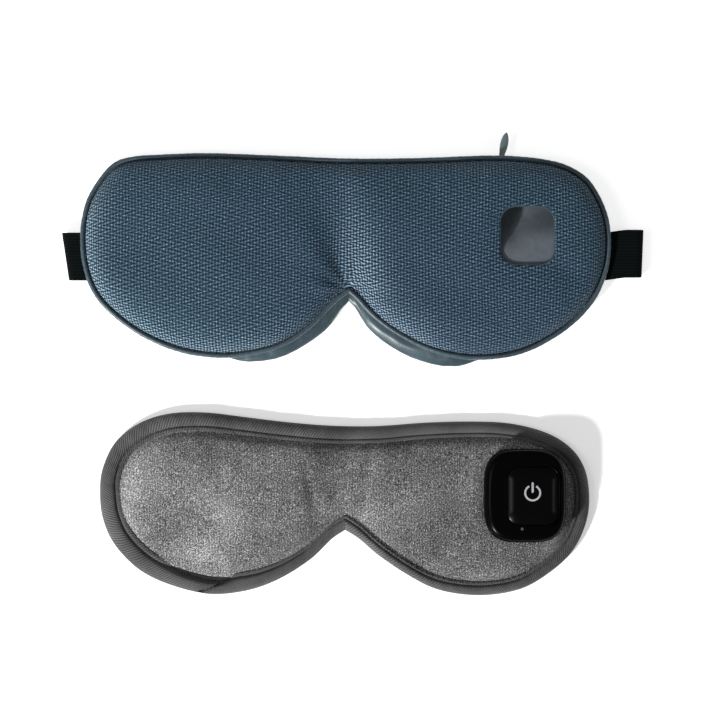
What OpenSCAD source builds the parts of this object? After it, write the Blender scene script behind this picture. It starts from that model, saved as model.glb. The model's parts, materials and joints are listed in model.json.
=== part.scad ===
// Eye massager mask: a knitted zip cover with an elastic strap, and the heated, vibrating
// pad that goes inside it. Both lie face up on a table, the pad in front of its cover.
// Millimetres. X runs along the mask, Y from the wearer's nose to the forehead, Z up.
// The origin is the middle of the whole layout, on the table.

/* [Cover] */
// X of the cover's nose notch
cover_x = -2; // [-4:0.5:0]
// Y of the cover's middle line
cover_y = 44.5; // [44:0.5:46]
// Height of the crown of the cover's front
cover_h = 16; // [15.6:0.1:18]
// Diameter of the piping in the cover's seam
piping_d = 2; // [1.6:0.1:2]
// Width of the window that the power button shows through
window_w = 22.4; // [21:0.1:24]
// Length of the window
window_l = 24; // [22:0.1:26]
// Length of the zip's teeth
zip_l = 130; // [100:2:132]

/* [Strap] */
// Width of the elastic strap
strap_w = 20; // [18:0.5:20]
// Thickness of the elastic
strap_t = 0.8; // [0.6:0.05:0.8]
// How far the left fold stands out from the origin
strap_left = 122.3; // [118:0.1:124]
// How far the right fold stands out from the origin
strap_right = 122.3; // [118:0.1:124]

/* [Pad] */
// X of the pad's nose notch
pad_x = -3.2; // [-5:0.1:0]
// Y of the pad's middle line
pad_y = -59; // [-62:0.5:-58]
// Height of the crown of the pad
pad_h = 8.4; // [8:0.1:9]
// Visible width of the edge binding
binding_w = 8; // [6:0.1:9]
// Distance of each vibration motor from the nose line
motor_dx = 38; // [32:1:40]
// Diameter of a vibration motor
motor_d = 10; // [8:0.5:12]

/* [Controller] */
// X of the controller's middle
ctrl_x = 72; // [70:0.5:74]
// Y of the controller's middle
ctrl_y = -55.6; // [-58:0.1:-55]
// Width of the controller's case
ctrl_w = 34; // [33.5:0.5:36]
// Length of the controller's case
ctrl_l = 39; // [38.5:0.5:40]
// Height of the case above the table
ctrl_h = 15.4; // [15.2:0.1:16.5]
// Width of the power button
key_w = 21; // [19:0.5:21]
// Length of the power button
key_l = 24; // [20:0.5:24]
// How far the button sits to the right of the case's middle
key_dx = 2.9; // [0:0.1:3]
// How far the button stands out of the case
key_rise = 1.4; // [1:0.1:2]
// Travel of the power button
key_travel = 0.4; // [0.2:0.05:0.4]

/* [Hidden] */
gap = 0.1;          // between layers that lie on each other
steps = 3;          // straight pieces between two outline points
slot_gap = 0.15;    // between a sliding piece and its guide

// ---- outlines: they start at the nose notch and run anticlockwise ----
cover_points = [
    [0.4, -14], [11.4, -26.2], [25.2, -35.5], [39.4, -41.3], [56, -43.4], [74, -40.5],
    [91, -31.3], [102.6, -19.8], [108.6, -7], [110.2, 5], [108.8, 17], [104.6, 26.8],
    [99.4, 33.6], [90.6, 38.6], [78, 41.2], [60, 42.2], [30, 41.2], [0, 41],
    [-30, 42.2], [-58, 43.2], [-78, 42.6], [-91, 41.6], [-98.6, 38.8], [-104.6, 32],
    [-109.6, 23], [-112, 11], [-111.4, -2], [-107.6, -14], [-99.8, -23.8], [-86, -33.8],
    [-69, -40.6], [-50, -42.5], [-30.4, -38.9], [-17, -31], [-7.4, -21.4]];
// The padded back stands out past the front beside the nose
back_points = concat(
    [[0.4, -18.3], [8, -29.2], [18.5, -37.3], [31, -42.8], [46, -44.9]],
    [for (i = [5:len(cover_points) - 5]) cover_points[i]],
    [[-48, -43], [-31, -42], [-18, -36.4], [-7, -28.3]]);
pad_points = [
    [0, -10.3], [6.3, -14.3], [14.7, -21.4], [27.3, -29.8], [39.9, -35.7], [56.7, -37.9],
    [73.5, -35.3], [86.1, -28.1], [95.3, -19.3], [100.7, -8], [102.1, 3], [100.3, 14.3],
    [94.5, 23.1], [84.2, 29.4], [69.2, 33.2], [52.2, 34], [33.2, 33.5], [13.2, 32.1],
    [-6.8, 32.3], [-26.8, 34], [-43.8, 36.1], [-58.8, 37.8], [-73.5, 37.4], [-85.8, 33.6],
    [-95.8, 26], [-101.3, 15], [-102.5, 5], [-101.3, -6], [-96.3, -17], [-86.1, -27.3],
    [-72.8, -33.7], [-56.8, -37.3], [-40.8, -35.7], [-27.3, -30.7], [-14.7, -22.7],
    [-6.3, -14.6]];

function blend4(a, b, c, d, t) = 0.5 * (2 * b + (c - a) * t + (2 * a - 5 * b + 4 * c - d) * t * t
    + (3 * b - a - 3 * c + d) * t * t * t);
// A smooth closed line through the points, with a corner at the first one
function smooth(p) = let (n = len(p)) [
    for (i = [0:n - 1]) for (k = [0:steps - 1])
        blend4(i == 0 ? 2 * p[0] - p[1] : p[i - 1], p[i], p[(i + 1) % n],
            i == n - 1 ? 2 * p[0] - p[i] : p[(i + 2) % n], k / steps)];
// The line down the middle of a two-lobed outline, which rises over the nose
spine_reach = 0.78;
function spine(outline, rise) = [for (p = outline) [p.x * spine_reach, rise * exp(-pow(p.x / 24, 2))]];
// The outline moved inwards by u millimetres, or by the share t of the way to the middle
function inward(k) = k < 0.4 ? k : 0.4 + (k - 0.4) / 5;
function ring(outline, middle, u, t) = [
    for (i = [0:len(outline) - 1]) let (way = middle[i] - outline[i])
        outline[i] + way * (t > 0 ? t : inward(u / norm(way)))];
function squircle(w, l, e = 3.4, n = 48) = [
    for (a = [0:360 / n:359.9]) [
        w / 2 * sign(cos(a)) * pow(abs(cos(a)), 2 / e),
        l / 2 * sign(sin(a)) * pow(abs(sin(a)), 2 / e)]];
function round_rect(w, l, r, n = 6) = [
    for (q = [0:3]) for (k = [0:n]) let (a = 90 * (q + k / n))
        [(w / 2 - r) * (q == 0 || q == 3 ? 1 : -1) + r * cos(a),
         (l / 2 - r) * (q < 2 ? 1 : -1) + r * sin(a)]];

cover_line = smooth(cover_points);
cover_spine = spine(cover_line, 13.5);
back_line = smooth(back_points);
back_spine = spine(back_line, 13.5);
pad_line = smooth(pad_points);
pad_spine = spine(pad_line, 11);

function ease(a, b, v) = let (k = max(0, min(1, (v - a) / (b - a)))) k * k * (3 - 2 * k);
// 1 where the strap passes over the nose notch, 0 further out
function over_nose(p) = (1 - ease(30, 46, abs(p.x))) * ease(-28, -18, p.y);
// Skin through stations [u, t, z], from the middle of the underside round the rim to the top.
// The middle is lower by dip over the nose, and the underside is at least at clear over it.
module loft(outline, middle, stations, dip = 0, clear = 0) {
    n = len(outline);
    last = len(stations) - 1;
    points = [for (s = stations) for (p = ring(outline, middle, s[0], s[1]))
        [p.x, p.y, s[2] - (s[1] > 0 ? dip * exp(-pow(p.x / 18, 2)) : 0)
            + max(0, clear - s[2]) * over_nose(p)]];
    sides = [for (j = [0:last - 1]) for (i = [0:n - 1]) let (k = (i + 1) % n)
        each [[j * n + i, (j + 1) * n + i, (j + 1) * n + k], [j * n + i, (j + 1) * n + k, j * n + k]]];
    polyhedron(points, concat([[for (i = [0:n - 1]) i]], sides,
        [[for (i = [n - 1:-1:0]) last * n + i]]), convexity = 8);
}
// Closed band round an outline, through stations [u, z] that run round its section
module band(outline, middle, stations) {
    n = len(outline);
    m = len(stations);
    points = [for (s = stations) for (p = ring(outline, middle, s[0], 0)) [p.x, p.y, s[1]]];
    polyhedron(points, [for (j = [0:m - 1]) for (i = [0:n - 1]) let (k = (i + 1) % n, g = (j + 1) % m)
        each [[j * n + i, g * n + i, g * n + k], [j * n + i, g * n + k, j * n + k]]], convexity = 8);
}
module at_cover() { translate([cover_x, cover_y, 0]) children(); }
module at_pad() { translate([pad_x, pad_y, 0]) children(); }
module at_controller(z = 0) { translate([ctrl_x, ctrl_y, z]) children(); }

// ---- cover ----
seam_z = 7.6;               // middle of the piping
skin_t = 2;                 // knitted front with its foam backing
pocket_floor = 6.8;         // crown of the padded back
nose_dip = 1.5;             // the front is lower over the nose
window_at = [74.8, 8.4];    // from the cover's own middle
zip_x = [66 - zip_l, 66];     // teeth, from the cover's own middle
tape_x = [zip_x[0] - 1.8, zip_x[1] + 3.8];
zip_y = 39.55;              // middle of the tape's thickness
zip_z = 4.4;                // line where the teeth meet
zip_rest = 64.5;            // slider, closed end
zip_slot = [[zip_x[0] - 2, 37.6, 1.6], [zip_x[1] + 4, 46, seam_z - piping_d / 2]];

module zip_room() {
    translate(zip_slot[0]) cube(zip_slot[1] - zip_slot[0]);
}
module window_hole(grow = 0) {
    translate([window_at.x, window_at.y, pocket_floor + 1])
        linear_extrude(cover_h) polygon(round_rect(window_w + 2 * grow, window_l + 2 * grow, 6.5 + grow));
}
module cover_front() color([0.23, 0.33, 0.42]) at_cover() difference() {
    loft(cover_line, cover_spine, [
        [0, 0.85, cover_h - skin_t], [0, 0.5, cover_h - skin_t - 0.3], [14, 0, cover_h - 3.6],
        [7, 0, cover_h - 5.6], [2.8, 0, seam_z + 1.1], [1.2, 0, seam_z + 1.1],
        [1.2, 0, seam_z + 1.9], [3, 0, cover_h - 4.8], [7, 0, cover_h - 2.6], [14, 0, cover_h - 1.1],
        [0, 0.5, cover_h - 0.2], [0, 0.85, cover_h]], nose_dip);
    window_hole(1.1 + gap);
}
module cover_back() color([0.36, 0.43, 0.46]) at_cover() difference() {
    loft(back_line, back_spine, [
        [0, 0.85, 5], [0, 0.6, 4.9], [13, 0, 1.75], [8, 0, 1.75], [3, 0, 2.8], [1.2, 0, 4.6],
        [1.2, 0, 6.3], [6, 0, 6.4], [0, 0.6, pocket_floor - 0.2], [0, 0.85, pocket_floor]],
        clear = 4.9);
    zip_room();
    for (side = [-1, 1]) translate([side * 107 - 10, -strap_w / 2 - 0.2, strap_seam_z - gap])
        cube([20, strap_w + 0.4, strap_t + 2 * gap]);
}
module pocket_lining() color([0.45, 0.46, 0.49]) at_cover() difference() {
    loft(cover_line, cover_spine, [
        [0, 0.85, pocket_floor + gap], [0, 0.6, pocket_floor - 0.2 + gap], [6, 0, 6.4 + gap],
        [6, 0, 6.8 + gap], [0, 0.6, pocket_floor + 0.2 + gap], [0, 0.85, pocket_floor + 0.4 + gap]]);
    zip_room();
}
module cover_piping() color([0.30, 0.38, 0.43]) at_cover()
    band(cover_line, cover_spine, [for (a = [0:45:315])
        [piping_d / 2 * (1 - cos(a)), seam_z + piping_d / 2 * sin(a)]]);
module window_binding() color([0.27, 0.36, 0.42]) at_cover()
    translate([window_at.x, window_at.y, cover_h - 3]) linear_extrude(2.9) difference() {
        polygon(round_rect(window_w + 2.2, window_l + 2.2, 7.6));
        polygon(round_rect(window_w, window_l, 6.5));
    }

// ---- zip: it stands in the cover's top edge and faces +Y ----
tooth = 1;                  // one tooth along the row
tape_t = 0.5;
teeth_t = 1.3;
tooth_reach = 0.4;          // past the line where the rows meet
row_h = 1;                  // from that line to the back of a row
tape_w = 1.1;
module tooth_row(up) {
    pitch = 2 * tooth;
    at_cover() translate([zip_x[0], zip_y, zip_z]) rotate([90, 0, 0]) mirror([0, up ? 0 : 1, 0])
        linear_extrude(teeth_t, center = true) {
            translate([0, tooth_reach + gap]) square([zip_l, row_h - tooth_reach - gap]);
            for (i = [0:zip_l / pitch - 1])
                translate([i * pitch + (up ? 0 : tooth) + gap / 2, -tooth_reach])
                    square([tooth - gap, 2 * tooth_reach + 2 * gap]);
        }
}
module tape_strip(z, h) {
    translate([tape_x[0], zip_y - tape_t / 2, z]) cube([tape_x[1] - tape_x[0], tape_t, h]);
}
module zip_teeth_upper() color([0.20, 0.26, 0.31]) tooth_row(true);
module zip_teeth_lower() color([0.20, 0.26, 0.31]) tooth_row(false);
module zip_tape_upper() color([0.24, 0.32, 0.38]) at_cover() tape_strip(zip_z + row_h + 0.05, tape_w);
module zip_tape_lower() color([0.24, 0.32, 0.38]) at_cover() {
    foot = zip_slot[0].z + 0.15;
    tape_strip(foot, zip_z - row_h - 0.05 - foot);
    translate([tape_x[0], zip_slot[0].y + gap, foot]) cube([tape_x[1] - tape_x[0], zip_y - zip_slot[0].y, 0.4]);
}
module zip_stops() color([0.30, 0.34, 0.36]) at_cover()
    for (x = [zip_x[0] - 0.8, tape_x[1] - 0.8]) translate([x, zip_y, zip_z])
        cube([1, teeth_t, 2 * row_h], center = true);

slider_l = 7.5;
slider_h = 3.8;
plate_t = 0.7;
plate_y = teeth_t / 2 + 0.2;    // inner face of each plate, from the tape's middle
lip_t = 0.35;
lip_y = tape_t / 2 + 0.2;
post = [1.2, 2, 1];             // wedge that parts the rows
ear_r = 0.85;
ear_t = 0.5;
ear_z = 1;                      // inner face of each ear, from the meeting line
pin_y = 42.1;                   // pull's hinge, from the cover's own middle
pin_r = 0.4;
module at_slider() { at_cover() translate([zip_rest, 0, zip_z]) children(); }
module zip_slider() color([0.33, 0.38, 0.40]) at_slider() difference() {
    union() {
        for (side = [-1, 1]) translate([0, zip_y, 0]) mirror([0, side < 0 ? 1 : 0, 0]) {
            translate([-slider_l / 2, plate_y, -slider_h / 2]) cube([slider_l, plate_t, slider_h]);
            for (z = [-slider_h / 2, slider_h / 2 - lip_t])
                translate([-slider_l / 2, lip_y, z]) cube([slider_l, plate_y - lip_y + 0.1, lip_t]);
        }
        translate([slider_l / 2 - 1.3, zip_y, 0]) cube(post, center = true);
        for (z = [-ear_z - ear_t, ear_z]) hull() {
            translate([0, pin_y, z]) cylinder(h = ear_t, r = ear_r, $fn = 24);
            translate([-ear_r, zip_y + plate_y + 0.2, z]) cube([2 * ear_r, 0.2, ear_t]);
        }
    }
    translate([0, pin_y, -slider_h]) cylinder(h = 2 * slider_h, r = pin_r + 0.02, $fn = 24);
}
module zip_pull_pin() color([0.5, 0.52, 0.53]) at_slider()
    translate([0, pin_y, -ear_z - ear_t]) cylinder(h = 2 * (ear_z + ear_t), r = pin_r, $fn = 24);
pull_l = 10.2;
pull_w = 4;
pull_t = 0.9;
pull_lean = -10;                // towards +X
pull_roll = 55;                 // the leaf hangs turned about its own length
module zip_pull() color([0.36, 0.43, 0.44]) at_slider() translate([0, pin_y, 0]) rotate([0, 0, pull_lean])
    difference() {
        union() {
            translate([0, 0, -ear_z + 0.15]) cylinder(h = 2 * (ear_z - 0.15), r = ear_r, $fn = 24);
            rotate([0, pull_roll, 0]) hull() {
                translate([0, ear_r, 0]) cube([1, 0.3, pull_t], center = true);
                translate([0, pull_l * 0.55, 0]) cylinder(h = pull_t, d = pull_w, center = true, $fn = 24);
                translate([0, pull_l - 0.8, 0]) cylinder(h = pull_t, r = 0.8, center = true, $fn = 24);
            }
        }
        translate([0, 0, -slider_h]) cylinder(h = 2 * slider_h, r = pin_r + 0.08, $fn = 24);
    }

// ---- strap: two runs lie under the cover, the lower one partly raised for the adjuster ----
strap_seam_z = 4.9;             // under face where it is sewn into the side seams
strap_end = 104;                // inner end of the sewn part, from the cover's own middle
raised = 0.7;                   // lower run over the adjuster's bars
bar_d = 1.2;
ring_x = -66;                   // the ring's middle
bar_dx = 2.2;                   // its bars from its middle
tail_x = 34;                    // free end of the return run
adjuster_x = -16;
low = strap_t / 2;
run_z = raised + low;
bar_z = raised + strap_t + gap + bar_d / 2;
back_z = 2 * bar_z - run_z;     // return run, above the ring's bars
sewn_z = strap_seam_z + low;
function offset_line(p, d) = [for (i = [0:len(p) - 1]) let (
    a = p[max(i - 1, 0)], b = p[min(i + 1, len(p) - 1)], w = (b - a) / norm(b - a)) p[i] + d * [-w.y, w.x]];
// Ribbon as thick as the strap along a line of [x, z] points
module ribbon(p) {
    back = offset_line(p, -low);
    translate([0, cover_y + strap_w / 2, 0]) rotate([90, 0, 0]) linear_extrude(strap_w)
        polygon(concat(offset_line(p, low), [for (i = [len(p) - 1:-1:0]) back[i]]));
}
// Half turn from height z0 to z1, bulging towards side
function fold(x, z0, z1, side) = let (r = abs(z1 - z0) / 2, dir = sign(z1 - z0))
    [for (a = [-90:22.5:90]) [x + side * r * cos(a), (z0 + z1) / 2 + dir * r * sin(a)]];
turn_r = (sewn_z - low) / 2;
module strap_long() color([0.03, 0.03, 0.035]) ribbon(concat(
    [[strap_end + cover_x, sewn_z]],
    fold(strap_right - low - turn_r, sewn_z, low, 1),
    [[62, low], [50, run_z]],
    fold(ring_x + bar_dx, run_z, back_z, -1),
    [[tail_x, back_z]]));
module strap_short() color([0.03, 0.03, 0.035]) ribbon(concat(
    [[cover_x - strap_end, sewn_z]],
    fold(low + turn_r - strap_left, sewn_z, low, -1),
    [[-96, low], [-86, run_z]],
    fold(ring_x - bar_dx, run_z, back_z, 1),
    [[ring_x - bar_dx - 5, run_z + strap_t + gap], [ring_x - bar_dx - 12, run_z + strap_t + gap]]));
module strap_ring() color([0.05, 0.05, 0.055]) translate([ring_x, cover_y, bar_z]) {
    reach = strap_w / 2 + 0.4;
    for (side = [-1, 1]) {
        translate([side * bar_dx, 0, 0]) rotate([90, 0, 0])
            cylinder(h = 2 * reach, d = bar_d, center = true, $fn = 24);
        translate([0, side * (reach + bar_d / 2 - 0.05), 0])
            cube([2 * bar_dx + bar_d, bar_d, bar_d], center = true);
    }
}
module strap_adjuster() color([0.05, 0.05, 0.055]) translate([adjuster_x, cover_y, 0]) {
    reach = strap_w / 2 + 0.3;
    top = back_z + low + slot_gap + 0.55;
    for (side = [-1, 1]) {
        translate([-6, side > 0 ? reach : -reach - 1.6, 0]) cube([12, 1.6, top]);
        translate([side * 5 - 1, -reach - 0.1, 0]) cube([2, 2 * reach + 0.2, raised - slot_gap]);
        translate([side * 5 - 1, -reach - 0.1, top - 0.55]) cube([2, 2 * reach + 0.2, 0.55]);
    }
    translate([-1, -reach - 0.1, raised + strap_t + slot_gap])
        cube([2, 2 * reach + 0.2, 2 * (bar_z - raised - strap_t - slot_gap)]);
}

// ---- pad ----
binding_t = 0.9;
floor_z = 0;
controller_z = 5.6;             // underside of the controller's case
under_front = 2.8;              // hem of the fabrics inside the binding
module controller_recess(z = controller_z - gap) {
    at_controller(z) linear_extrude(ctrl_h) polygon(squircle(ctrl_w + 0.6, ctrl_l + 0.6));
}
module pad_front() color([0.47, 0.47, 0.46]) difference() {
    at_pad() loft(pad_line, pad_spine, [
        [0, 0.85, pad_h - 1], [0, 0.5, pad_h - 1.2], [14, 0, pad_h - 2.8], [binding_w, 0, 3.5],
        [under_front, 0, 2.5], [under_front, 0, 3.3], [binding_w, 0, 4.2], [binding_w + 1.6, 0, 5.6],
        [14, 0, pad_h - 1.5], [0, 0.5, pad_h - 0.2], [0, 0.85, pad_h]]);
    controller_recess();
}
module pad_back() color([0.30, 0.30, 0.30]) at_pad() loft(pad_line, pad_spine, [
    [0, 0.85, 0.5], [0, 0.5, 0.4], [14, 0, floor_z], [binding_w + 0.3, 0, floor_z],
    [binding_w + 0.3, 0, binding_t + gap], [under_front, 0, 1.3], [under_front, 0, 1.9],
    [binding_w + 0.3, 0, 1.6], [14, 0, 1.2], [0, 0.5, 1.4], [0, 0.85, 1.5]]);
module edge_binding() color([0.36, 0.36, 0.35]) at_pad() band(pad_line, pad_spine, [
    [binding_w, 5.2], [5, 4.9], [2, 4.3], [0.4, 3.4], [0, 2.6], [0.4, 1.2], [2, 0.3], [binding_w, floor_z],
    [binding_w, binding_t], [2.4, 1.1], [1.1, 1.9], [1.1, 2.9], [2.4, 3.4], [5, 4], [binding_w, 4.3]]);
motor_y = 0;
motor_z = 2.4;
motor_h = 3;
lead_z = 4.5;
lead = [1.6, 0.8];              // width and height of a two-core lead
left_lead_y = 9.5;
right_lead_y = 6.5;
heater_lead_y = 12.5;
lead_x = ctrl_x - pad_x - 10.5;       // where the leads go up into the controller
heater_at = [46, heater_lead_y];
sensor_at = [52, -10];
module box_between(a, b) { translate(a) cube(b - a); }
// A lead from x0, along y, to the controller, with grow added all round
module lead_run(x0, y, grow = 0) {
    box_between([x0 - lead.x / 2 - grow, y - lead.x / 2 - grow, lead_z - grow],
        [lead_x + lead.x / 2 + grow, y + lead.x / 2 + grow, lead_z + lead.y + grow]);
}
module motor_branch(x, y, grow = 0) {
    box_between([x - lead.x / 2 - grow, motor_y + motor_d / 2 + 0.1 - 2 * grow, lead_z - grow],
        [x + lead.x / 2 + grow, y + lead.x / 2 + grow, lead_z + lead.y + grow]);
}
module foam_core() color([0.85, 0.84, 0.78]) difference() {
    at_pad() difference() {
        loft(pad_line, pad_spine, [
            [0, 0.85, 1.6], [0, 0.5, 1.5], [14, 0, 1.3], [binding_w + 0.3, 0, 1.7],
            [under_front + 0.6, 0, 2.05], [under_front + 0.6, 0, 2.4], [binding_w, 0, 3.35],
            [14, 0, 5.1], [0, 0.5, 6.4], [0, 0.85, 6.6]]);
        for (x = [-motor_dx, motor_dx]) translate([x, motor_y, motor_z - gap])
            cylinder(h = motor_h + 2 * gap, d = motor_d + 0.4, $fn = 48);
        motor_branch(-motor_dx, left_lead_y, gap);
        lead_run(-motor_dx, left_lead_y, gap);
        motor_branch(motor_dx, right_lead_y, gap);
        lead_run(motor_dx, right_lead_y, gap);
        lead_run(heater_at.x, heater_lead_y, gap);
        translate([heater_at.x - 1, heater_at.y - 1, lead_z]) cube([2, 2, 5]);
        translate([sensor_at.x, sensor_at.y, 5.6]) cylinder(h = 3, d = 2.4, $fn = 24);
        translate([lead_x - 1, right_lead_y - 1, lead_z]) cube([2, heater_lead_y - right_lead_y + 2, 3]);
    }
    controller_recess();
}
module heating_film() color([0.72, 0.45, 0.15]) difference() {
    at_pad() loft(pad_line, pad_spine,
        [[0, 0.85, 6.85], [0, 0.6, 6.75], [0, 0.6, 6.95], [0, 0.85, 7.05]]);
    controller_recess();
}
module thermistor() color([0.1, 0.1, 0.1]) at_pad() translate([sensor_at.x, sensor_at.y, 5.7])
    cylinder(h = 1, d = 2, $fn = 24);
module motor_leads() color([0.7, 0.1, 0.1]) at_pad() {
    motor_branch(-motor_dx, left_lead_y);
    motor_branch(motor_dx, right_lead_y);
    for (y = [left_lead_y, right_lead_y]) {
        lead_run(y == left_lead_y ? -motor_dx : motor_dx, y);
        riser(lead_x, y, board_z - gap);
    }
}
module riser(x, y, top) {
    translate([x - lead.x / 2, y - lead.x / 2, lead_z]) cube([lead.x, lead.x, top - lead_z]);
}
module heater_leads() color([0.85, 0.85, 0.8]) at_pad() {
    lead_run(heater_at.x, heater_lead_y);
    riser(heater_at.x, heater_lead_y, 6.7);
    riser(lead_x, heater_lead_y, board_z - gap);
}

// ---- vibration motors: flat coin motors, axis along Z ----
case_t = 0.3;
shaft_r = 0.35;
module at_motor(side) { at_pad() translate([side * motor_dx, motor_y, motor_z]) children(); }
module motor_case(side) at_motor(side) difference() {
    cylinder(h = motor_h - case_t - 0.05, d = motor_d, $fn = 48);
    translate([0, 0, case_t]) cylinder(h = motor_h, d = motor_d - 2 * case_t, $fn = 48);
}
module motor_cover(side) at_motor(side) translate([0, 0, motor_h - case_t])
    cylinder(h = case_t, d = motor_d, $fn = 48);
module motor_shaft(side) at_motor(side) translate([0, 0, case_t])
    cylinder(h = motor_h - 2 * case_t, r = shaft_r, $fn = 24);
module motor_rotor(side) at_motor(side) translate([0, 0, case_t + 0.4]) difference() {
    union() {
        cylinder(h = 1.4, r = 1.4, $fn = 32);
        intersection() {
            cylinder(h = 1.4, r = motor_d / 2 - case_t - 0.35, $fn = 48);
            translate([-motor_d / 2, 0, 0]) cube([motor_d, motor_d / 2, 1.4]);
        }
    }
    translate([0, 0, -1]) cylinder(h = 4, r = shaft_r + 0.05, $fn = 24);
}
module motor_case_left() color([0.75, 0.76, 0.78]) motor_case(-1);
module motor_case_right() color([0.75, 0.76, 0.78]) motor_case(1);
module motor_cover_left() color([0.8, 0.8, 0.82]) motor_cover(-1);
module motor_cover_right() color([0.8, 0.8, 0.82]) motor_cover(1);
module motor_shaft_left() color([0.6, 0.6, 0.62]) motor_shaft(-1);
module motor_shaft_right() color([0.6, 0.6, 0.62]) motor_shaft(1);
module motor_rotor_left() color([0.62, 0.5, 0.25]) motor_rotor(-1);
module motor_rotor_right() color([0.62, 0.5, 0.25]) motor_rotor(1);

// ---- controller ----
case_w = 1.5;                   // wall of the case
base_h = 3.4;
split_z = controller_z + base_h;
board_z = 9.8;
board_t = 1;
board = [ctrl_w - 2 * case_w - 1, ctrl_l - 2 * case_w - 1];
ceiling_z = ctrl_h - 1.6;       // inner face of the top
boss_at = [11.2, 14.2];
boss_r = 1.7;
screw_r = 0.8;
head_r = 1.5;
usb = [8.9, 7.3, 3.2];          // socket's width, depth and height
usb_y = ctrl_l / 2 - usb.y - 0.3; // its inner end, from the controller's middle
usb_z = 10.3;                     // its middle
flange_t = 0.6;
flange_z = ceiling_z - flange_t - gap;  // retaining flange of the button, at rest
pipe_at = [-1.4, -13.6];
switch_h = flange_z - board_z - board_t - key_travel - 0.7;
module at_bosses() { for (x = [-1, 1], y = [-1, 1]) translate([x * boss_at.x, y * boss_at.y]) children(); }
module usb_shape(grow = 0) {
    w = usb.x + 2 * grow;
    h = usb.z + 2 * grow;
    hull() for (side = [-1, 1]) translate([side * (w - h) / 2, 0]) circle(d = h, $fn = 32);
}
module usb_room(grow) {
    translate([0, ctrl_l / 2 - usb.y, usb_z]) rotate([-90, 0, 0]) linear_extrude(usb.y + 4) usb_shape(grow);
}
module controller_base() color([0.04, 0.04, 0.045]) at_controller() difference() {
    union() {
        difference() {
            translate([0, 0, controller_z]) linear_extrude(base_h) polygon(squircle(ctrl_w, ctrl_l));
            translate([0, 0, controller_z + 1]) linear_extrude(base_h)
                polygon(squircle(ctrl_w - 2 * case_w, ctrl_l - 2 * case_w));
        }
        translate([0, 0, controller_z]) at_bosses() cylinder(h = board_z - controller_z, r = boss_r, $fn = 32);
    }
    translate([0, 0, controller_z - 1]) at_bosses() cylinder(h = 6, r = screw_r + 0.05, $fn = 24);
    translate([0, 0, controller_z - 1]) at_bosses() cylinder(h = 2, r = head_r + 0.1, $fn = 32);
    translate([lead_x + pad_x - ctrl_x - 1.2, right_lead_y + pad_y - ctrl_y - 1.3, controller_z - 1])
        cube([2.4, heater_lead_y - right_lead_y + 2.6, 3]);
    usb_room(0.15);
}
module controller_top() color([0.04, 0.04, 0.045]) at_controller() difference() {
    union() {
        difference() {
            hull() {
                translate([0, 0, split_z + gap]) linear_extrude(ctrl_h - 1.6 - split_z - gap)
                    polygon(squircle(ctrl_w, ctrl_l));
                for (s = [[0.5, 0.7], [1.3, 0.2], [2.4, 0]]) translate([0, 0, ctrl_h - s[1] - 0.1])
                    linear_extrude(0.1) polygon(squircle(ctrl_w - 2 * s[0], ctrl_l - 2 * s[0]));
            }
            translate([0, 0, split_z - 1]) linear_extrude(ceiling_z - split_z + 1)
                polygon(squircle(ctrl_w - 2 * case_w, ctrl_l - 2 * case_w));
        }
        translate([0, 0, board_z + board_t + gap]) at_bosses()
            cylinder(h = ceiling_z - board_z - board_t, r = boss_r, $fn = 32);
    }
    translate([0, 0, split_z - 2]) at_bosses() cylinder(h = 5, r = screw_r + 0.02, $fn = 24);
    translate([key_dx, 0, ceiling_z - 1]) linear_extrude(4)
        polygon(round_rect(key_w + 2 * slot_gap, key_l + 2 * slot_gap, 5 + slot_gap));
    translate([pipe_at.x, pipe_at.y, ceiling_z - 1]) cylinder(h = 4, r = 0.65, $fn = 24);
    usb_room(0.15);
}
module controller_screws() color([0.6, 0.6, 0.62]) at_controller(controller_z) at_bosses() {
    cylinder(h = 0.9, r = head_r, $fn = 32);
    cylinder(h = 6, r = screw_r, $fn = 24);
}
module circuit_board() color([0.05, 0.30, 0.15]) at_controller(board_z) difference() {
    linear_extrude(board_t) polygon(squircle(board.x, board.y));
    translate([0, 0, -1]) at_bosses() cylinder(h = 4, r = screw_r + 0.1, $fn = 24);
    translate([-usb.x / 2 - 0.3, usb_y - 0.3, -1]) cube([usb.x + 0.6, usb.y, 4]);
}
module battery_cell() color([0.7, 0.72, 0.75]) at_controller() translate([-4.5, -12.5, controller_z + 1.1])
    cube([15, 22, board_z - controller_z - 1.3]);
module tact_switch() color([0.75, 0.75, 0.72]) at_controller(board_z + board_t)
    translate([key_dx - 3, -3, 0.02]) cube([6, 6, switch_h]);
module usb_socket() color([0.7, 0.71, 0.73]) at_controller()
    translate([0, usb_y, usb_z]) rotate([-90, 0, 0]) difference() {
        linear_extrude(usb.y) usb_shape();
        translate([0, 0, 0.8]) linear_extrude(usb.y) difference() {
            usb_shape(-0.3);
            square([6.2, 0.7], center = true);
        }
    }
module status_led() color([0.9, 0.9, 0.85]) at_controller(board_z + board_t)
    translate([pipe_at.x - 0.8, pipe_at.y - 0.4, 0.02]) cube([1.6, 0.8, 0.6]);
module light_pipe() color([0.8, 0.82, 0.85]) at_controller()
    translate([pipe_at.x, pipe_at.y, board_z + board_t + 0.7])
        cylinder(h = ctrl_h - board_z - board_t - 0.7, r = 0.6, $fn = 24);
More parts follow.
